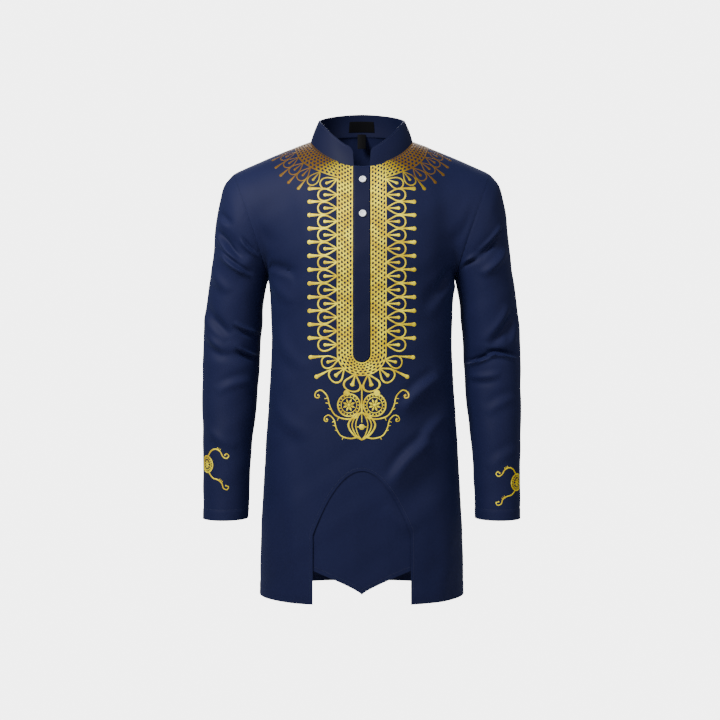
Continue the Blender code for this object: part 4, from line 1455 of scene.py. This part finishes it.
def marchFromNeck():
    turns = np.linspace(-math.pi / 2, math.pi / 2, neckPrint["turns"])
    steps = int(neckPrint["reach"] / neckPrint["step"]) + 1
    points, normals = np.empty((len(turns), steps, 3)), np.empty((len(turns), steps, 3))
    seam = neckPoint("front", turns)
    tangents = unit(np.gradient(seam, axis=0))
    for i in range(len(turns)):
        hit, normal, _, _ = frontSkin.find_nearest(Vector(seam[i]))
        normal = normal if normal.y < 0 or normal.z > 0.5 else -normal
        heading = Vector(tangents[i]).cross(normal).normalized()
        outside = Vector((seam[i][0], seam[i][1], 0))
        if heading.dot(outside) < 0:
            heading.negate()
        for k in range(steps):
            points[i, k], normals[i, k] = hit, normal
            heading = (heading - normal * heading.dot(normal)).normalized()
            hit, turned, _, _ = frontSkin.find_nearest(hit + heading * neckPrint["step"])
            normal = turned if turned.dot(normal) > 0 else -turned
    return turns, points, normals


neckTurns, neckPoints, neckNormals = marchFromNeck()


def onNeck(turn, distance, height):
    i = np.clip((turn + math.pi / 2) / math.pi * (len(neckTurns) - 1), 0, len(neckTurns) - 1.001)
    k = np.clip(distance / neckPrint["step"], 0, neckPoints.shape[1] - 1.001)
    a, b = np.floor(i).astype(int), np.floor(k).astype(int)
    f, g = (i - a)[:, None], (k - b)[:, None]

    def read(table):
        near = table[a, b] * (1 - f) + table[a + 1, b] * f
        far = table[a, b + 1] * (1 - f) + table[a + 1, b + 1] * f
        return near * (1 - g) + far * g

    return read(neckPoints) + unit(read(neckNormals)) * height[:, None]


def ringReach(turn):                # the ring's outer edge, as its distance from the seam
    return smoothCurve(neckPrint["degrees"], neckPrint["outer"], np.degrees(turn))


middleTurn = len(neckTurns) // 2
bandMeets = [
    float(np.interp(band["edge"] - 0.0012, column, neckTurns[middleTurn:]))
    for column in neckPoints[middleTurn:, :, 0].T
]


def bandTurn(distance):             # where the ring meets the straight band's outer edge
    return np.interp(distance, np.arange(len(bandMeets)) * neckPrint["step"], bandMeets)


lastTurn = math.radians(88.6)
ringNet = latticeStrip("ring_net", neckPrint["columns"], neckPrint["rows"])
for sign, name in bothSides:
    ringHalf = copyOf(ringNet, "ring_net_" + name)

    def place(c, sign=sign):
        turn = 0.6
        for _ in range(4):
            distance = neckPrint["inner"] + (ringReach(turn) - neckPrint["inner"]) * (0.5 + c[:, 0] * 0.46)
            start = bandTurn(distance)
            turn = start + (lastTurn - start) * c[:, 1]
        return onNeck(sign * turn, distance, np.full(len(turn), net["lift"]))

    placeVerts(ringHalf, place)
    if sign > 0:
        flipFaces(ringHalf)
    giveWall(ringHalf, net["wall"])
    parts = [ringHalf]
    for line, (_, beside) in borders.items():
        strip = newGrid("ring_" + line, 110, goldLine["across"])

        def place(g, sign=sign, line=line, beside=beside):
            turn = 0.6
            for _ in range(4):
                edge = neckPrint["inner"] if line == "inner" else ringReach(turn)
                distance = edge + beside + g[:, 1] * borderHalfWidth
                start = bandTurn(distance)
                turn = start + (lastTurn - start) * (g[:, 0] + 1) / 2
            return onNeck(sign * turn, distance, lineHeight(g[:, 1], borderRise["ring"]))

        placeVerts(strip, place)
        parts.append(strip)
    keepPrint(joinAll(parts, "ring_print_" + name), 40)
discard(ringNet)


def layOnNeck(shape, name, sign, degrees, scale=1.0):
    made = copyOf(shape, name)
    centre = math.radians(degrees)
    edge = float(ringReach(centre))
    spreads = []
    for beyond in (0.0, 0.05):
        pair = onNeck(sign * centre + np.array([-0.03, 0.03]), np.full(2, edge + beyond), np.zeros(2))
        spreads.append(np.linalg.norm(pair[1] - pair[0]) / 0.06)

    def place(c):
        spread = spreads[0] + (spreads[1] - spreads[0]) * c[:, 0] / 0.05
        turn = np.clip(sign * centre + c[:, 1] * scale / spread, -math.pi / 2, math.pi / 2)
        return onNeck(turn, edge + c[:, 0] * scale, c[:, 2])

    placeVerts(made, place)
    return made


ringPetals = [32.0, 40.5, 49.0, 57.5, 67.0, 78.0]
ringDrops = [36.3, 44.8, 53.2, 62.0, 72.5]
for sign, name in bothSides:
    for k, degrees in enumerate(ringPetals):
        keepPrint(layOnNeck(petalShape, f"ring_petal_{name}_{k}", sign, degrees, 0.92))
    for k, degrees in enumerate(ringDrops):
        keepPrint(layOnNeck(dropShape, f"ring_drop_{name}_{k}", sign, degrees, 0.92))
discard(petalShape, dropShape)
print("neck printed")

# Ornaments of the builder's own design: a pendant under the band, and one on each forearm
pendant = {
    "stem": [(0, -0.4465), (0, -0.470), (0, -0.497)],
    "roundels": (0.0225, -0.4820, 0.0195),
    "bulb": (-0.5180, 0.0235, 0.0255),
    "bulbLines": [(1.0, 0.0014), (0.72, 0.0010), (0.45, 0.0008)],      # share of the bulb's width, line width
    "vines": [(1.0, 0.0, 0.0011), (0.80, -0.0390, 0.0010)],            # scale, lift, line width
    "vineMiddle": -0.48,       # the height that the smaller vine is scaled about
    "vine": [(0.006, -0.5030), (0.026, -0.5065), (0.046, -0.5000), (0.056, -0.4840), (0.061, -0.4660),
             (0.072, -0.4560), (0.081, -0.4600), (0.082, -0.4680), (0.076, -0.4695), (0.0745, -0.4645)],
    "vineBead": (0.0768, -0.4648),
    "tendrils": [((0.0535, -0.4900), (0.0052, 0.0022)), ((0.0580, -0.4790), (0.0054, 0.0008)),
                 ((0.0600, -0.4700), (0.0050, -0.0012)), ((0.0400, -0.5040), (0.0028, -0.0052))],
}


def ringLine(name, x, z, radius, halfWidth, count=48):
    turn = np.linspace(0, 2 * math.pi, 25)
    keys = list(zip(x + radius * np.cos(turn), z + radius * np.sin(turn)))
    return ribbon(name, keys, [halfWidth, halfWidth], count, closed=True)


def around(x, z, radius, turn):
    return x + radius * math.cos(turn), z + radius * math.sin(turn)


def makeRoundel(name, x, z, radius):       # two rings, a round of beads between them and a flower
    parts = [
        ringLine("outerRing", x, z, radius, 0.00125),
        ringLine("innerRing", x, z, radius * 0.70, 0.0007, 40),
    ]
    for k in range(18):
        spot = around(x, z, radius * 0.845, 2 * math.pi * k / 18)
        parts.append(bead("spot", *spot, radius * 0.068, 0.0004, 8))
    for k in range(8):
        turn = 2 * math.pi * (k + 0.5) / 8
        keys = [around(x, z, radius * share, turn) for share in (0.16, 0.35, 0.56)]
        parts.append(ribbon("flowerPetal", keys, [radius * width for width in (0.03, 0.10, 0.02)], 8))
    parts.append(bead("flowerHeart", x, z, radius * 0.15, 0.0006, 12))
    return joinAll(parts, name)


def makePendant():
    x0, z0, radius = pendant["roundels"]
    bulbZ, bulbWide, bulbHigh = pendant["bulb"]
    parts = [makeRoundel("roundel", sign * x0, z0, radius) for sign in (-1, 1)]
    parts.append(ribbon("stem", pendant["stem"], [0.0012, 0.0011, 0.0016], 12))
    for sign in (-1, 1):
        parts.append(bead("disc", sign * 0.0265, -0.4610, 0.0058, 0.0004, 20))
        for share, width in pendant["bulbLines"]:
            keys = [
                (0, bulbZ + bulbHigh * 0.92),
                (sign * bulbWide * 0.62 * share, bulbZ + bulbHigh * 0.62),
                (sign * bulbWide * share, bulbZ + 0.001),
                (sign * bulbWide * 0.60 * share, bulbZ - bulbHigh * 0.62),
                (0, bulbZ - bulbHigh * 0.96),
            ]
            parts.append(ribbon("bulbLine", keys, [width, width * 1.1, width], 32))
        for scale, lift, width in pendant["vines"]:
            def put(p, q):
                return (sign * p * scale, q * scale + lift + (1 - scale) * pendant["vineMiddle"])

            vine = [put(p, q) for p, q in pendant["vine"]]
            parts.append(ribbon("vine", vine, [width * 1.3, width, width, width * 0.8], 60))
            for (p, q), (dp, dq) in pendant["tendrils"]:
                keys = [put(p, q), put(p + dp * 0.6, q + dq * 0.4), put(p + dp, q + dq)]
                parts.append(ribbon("tendril", keys, [width * 0.8, width * 0.6, width * 0.5], 6))
            parts.append(bead("vineBead", *put(*pendant["vineBead"]), 0.0019, 0.0004, 10))
    parts.append(bead("bulbBead", 0, bulbZ - 0.002, 0.0052, 0.0006, 18))
    parts.append(ribbon("bulbStem", [(0, bulbZ + bulbHigh * 0.8), (0, bulbZ + 0.006)], [0.0008, 0.0008], 6))
    parts.append(ribbon("bulbBar", [(-0.0085, bulbZ - 0.002), (0.0085, bulbZ - 0.002)], [0.0008, 0.0008], 8))
    return joinAll(parts, "pendant_print")


pendantShape = makePendant()
keepPrint(layOnFront(pendantShape, "pendant", lambda p, q: (p, q)))
discard(pendantShape)


def makeSprig(radius):       # a roundel with curled vines
    parts = [makeRoundel("sprigRoundel", 0, 0, radius)]
    for keys in (upperVine, lowerVine):
        parts.append(ribbon("sprigVine", keys, [0.0013, 0.0011, 0.0010, 0.0008], 44))
        parts.append(bead("sprigBead", *keys[-1], 0.0017, 0.0004, 10))
        (p0, q0), (p1, q1) = keys[2], keys[3]
        for share in (0.2, 0.5, 0.8):
            p, q = p0 + (p1 - p0) * share, q0 + (q1 - q0) * share
            awayP, awayQ = unit(np.array([q0 - q1, p1 - p0])) * 0.0050
            tendril = [(p + awayP * reach, q + awayQ * reach) for reach in (0, 0.6, 1)]
            parts.append(ribbon("sprigTendril", tendril, [0.0009, 0.0007, 0.0006], 5))
    return joinAll(parts, "sprig")


upperVine = [(0.004, 0.016), (0.012, 0.026), (0.022, 0.030), (0.031, 0.026), (0.036, 0.018), (0.043, 0.015),
             (0.047, 0.020), (0.043, 0.024), (0.040, 0.021)]
lowerVine = [(0.006, -0.015), (0.016, -0.024), (0.027, -0.027), (0.035, -0.034), (0.038, -0.043),
             (0.045, -0.046), (0.048, -0.040), (0.043, -0.038)]
sleevePrint = {
    "left": {"mirror": 1, "height": -0.590, "turn": 42.0, "radius": 0.0150},
    "right": {"mirror": -1, "height": -0.622, "turn": 40.0, "radius": 0.0160},
}


def layOnSleeve(shape, name, settings):     # p goes round the arm towards the front, q up it
    made = copyOf(shape, name)
    heights = np.array(sleeveRings["outerZ"])
    centre = np.interp(settings["height"], heights[::-1], np.arange(lastRing + 1)[::-1])
    perTurn, perRow = 0.0455, 0.0590        # cloth per radian round the arm and per ring down it

    def place(c):
        turn = math.radians(settings["turn"]) + c[:, 0] / perTurn
        along = np.clip(centre - c[:, 1] / perRow, 0, lastRing)
        return sleeveSurface(settings["mirror"], along, turn, shirt["wall"] / 2 + c[:, 2])[0]

    placeVerts(made, place)
    if settings["mirror"] > 0:
        flipFaces(made)
    return made


for name, settings in sleevePrint.items():
    sprig = makeSprig(settings["radius"])
    keepPrint(layOnSleeve(sprig, "sleeve_print_" + name, settings))
    discard(sprig)
print("ornaments printed")

# Every sheet of cloth: its cut's width and length, the cut's area, and how it is held
sheets = [
    (front, (0.560, 0.870), 0.359, "hung", [collarBand]),
    (back, (0.560, 0.880), 0.392, "hung", [collarBand]),
    (frontTab, (0.190, 0.225), 0.030, "hung", [front]),
    (sleeveLeft, (0.420, 0.640), 0.198, "hung", [front, back]),
    (sleeveRight, (0.420, 0.640), 0.198, "hung", [front, back]),
    (collarBand, (0.530, 0.046), 0.0214, "laid", [front, back]),
    (placketStrip, (0.029, 0.356), 0.0101, "laid", [front]),
    (neckLabel, (0.052, 0.021), 0.00103, "laid", [collarBand]),
    (sizeTab, (0.0165, 0.030), 0.00047, "hung", [back]),
]
for piece, flat, area, held, carriers in sheets:
    sewn = [row for row, owner in rows if owner == piece]
    print("sheet", piece.name)

# Camera, light and floor
camera = {"place": (-0.00315, -2.2, -0.403), "lens": 59.46, "sensor": 36.0}
photoCamera = added(bpy.ops.object.camera_add, location=camera["place"], rotation=(math.pi / 2, 0, 0))
photoCamera.data.lens = camera["lens"]
photoCamera.data.sensor_width = camera["sensor"]
photoCamera.data.clip_start = 0.05
bpy.context.scene.camera = photoCamera

studio = {
    "floorHeight": -1.60,
    "floorSize": 3.4,
    "world": 0.24,
    "backdrop": 5.0,           # the white that the camera sees behind the shirt
    "lamps": [
        # place, what it faces, size, power
        ((-0.98, -1.22, 0.84), (-0.05, 0.0, -0.26), 0.6, 61),
        ((1.5, -1.5, 0.5), (0.0, 0.0, -0.30), 0.9, 16),
        ((0.0, -2.7, 0.55), (0.0, 0.0, -0.30), 1.6, 12),
        ((0.0, 2.0, 1.2), (0.0, 0.0, -0.35), 1.4, 40),
    ],
}
for place, target, size, power in studio["lamps"]:
    lamp = added(bpy.ops.object.light_add, type="AREA", location=place)
    lamp.data.size, lamp.data.energy = size, power
    lamp.rotation_euler = (Vector(target) - Vector(place)).to_track_quat("-Z", "Y").to_euler()

world = bpy.data.worlds.new("studio")
bpy.context.scene.world = world
world.use_nodes = True
tree = world.node_tree
tree.nodes["Background"].inputs["Color"].default_value = (1, 1, 1, 1)
seen = tree.nodes.new("ShaderNodeLightPath")
level = tree.nodes.new("ShaderNodeMapRange")
level.inputs["To Min"].default_value = studio["world"]
level.inputs["To Max"].default_value = studio["backdrop"]
tree.links.new(seen.outputs["Is Camera Ray"], level.inputs["Value"])
tree.links.new(level.outputs["Result"], tree.nodes["Background"].inputs["Strength"])

floorPlace = (0, 0, studio["floorHeight"])
floor = added(bpy.ops.mesh.primitive_plane_add, size=studio["floorSize"], location=floorPlace)
floor.name = "floor"
floorFinish = Finish("paleFloor", Roughness=0.9)
grey = floorFinish.noise(floorFinish.place(), 1.2, 2.0)
floorFinish.set("Base Color", floorFinish.mix(grey, (0.86, 0.86, 0.86, 1), (0.90, 0.90, 0.90, 1)))
floor.data.materials.append(floorFinish.material)
print("stage ready")
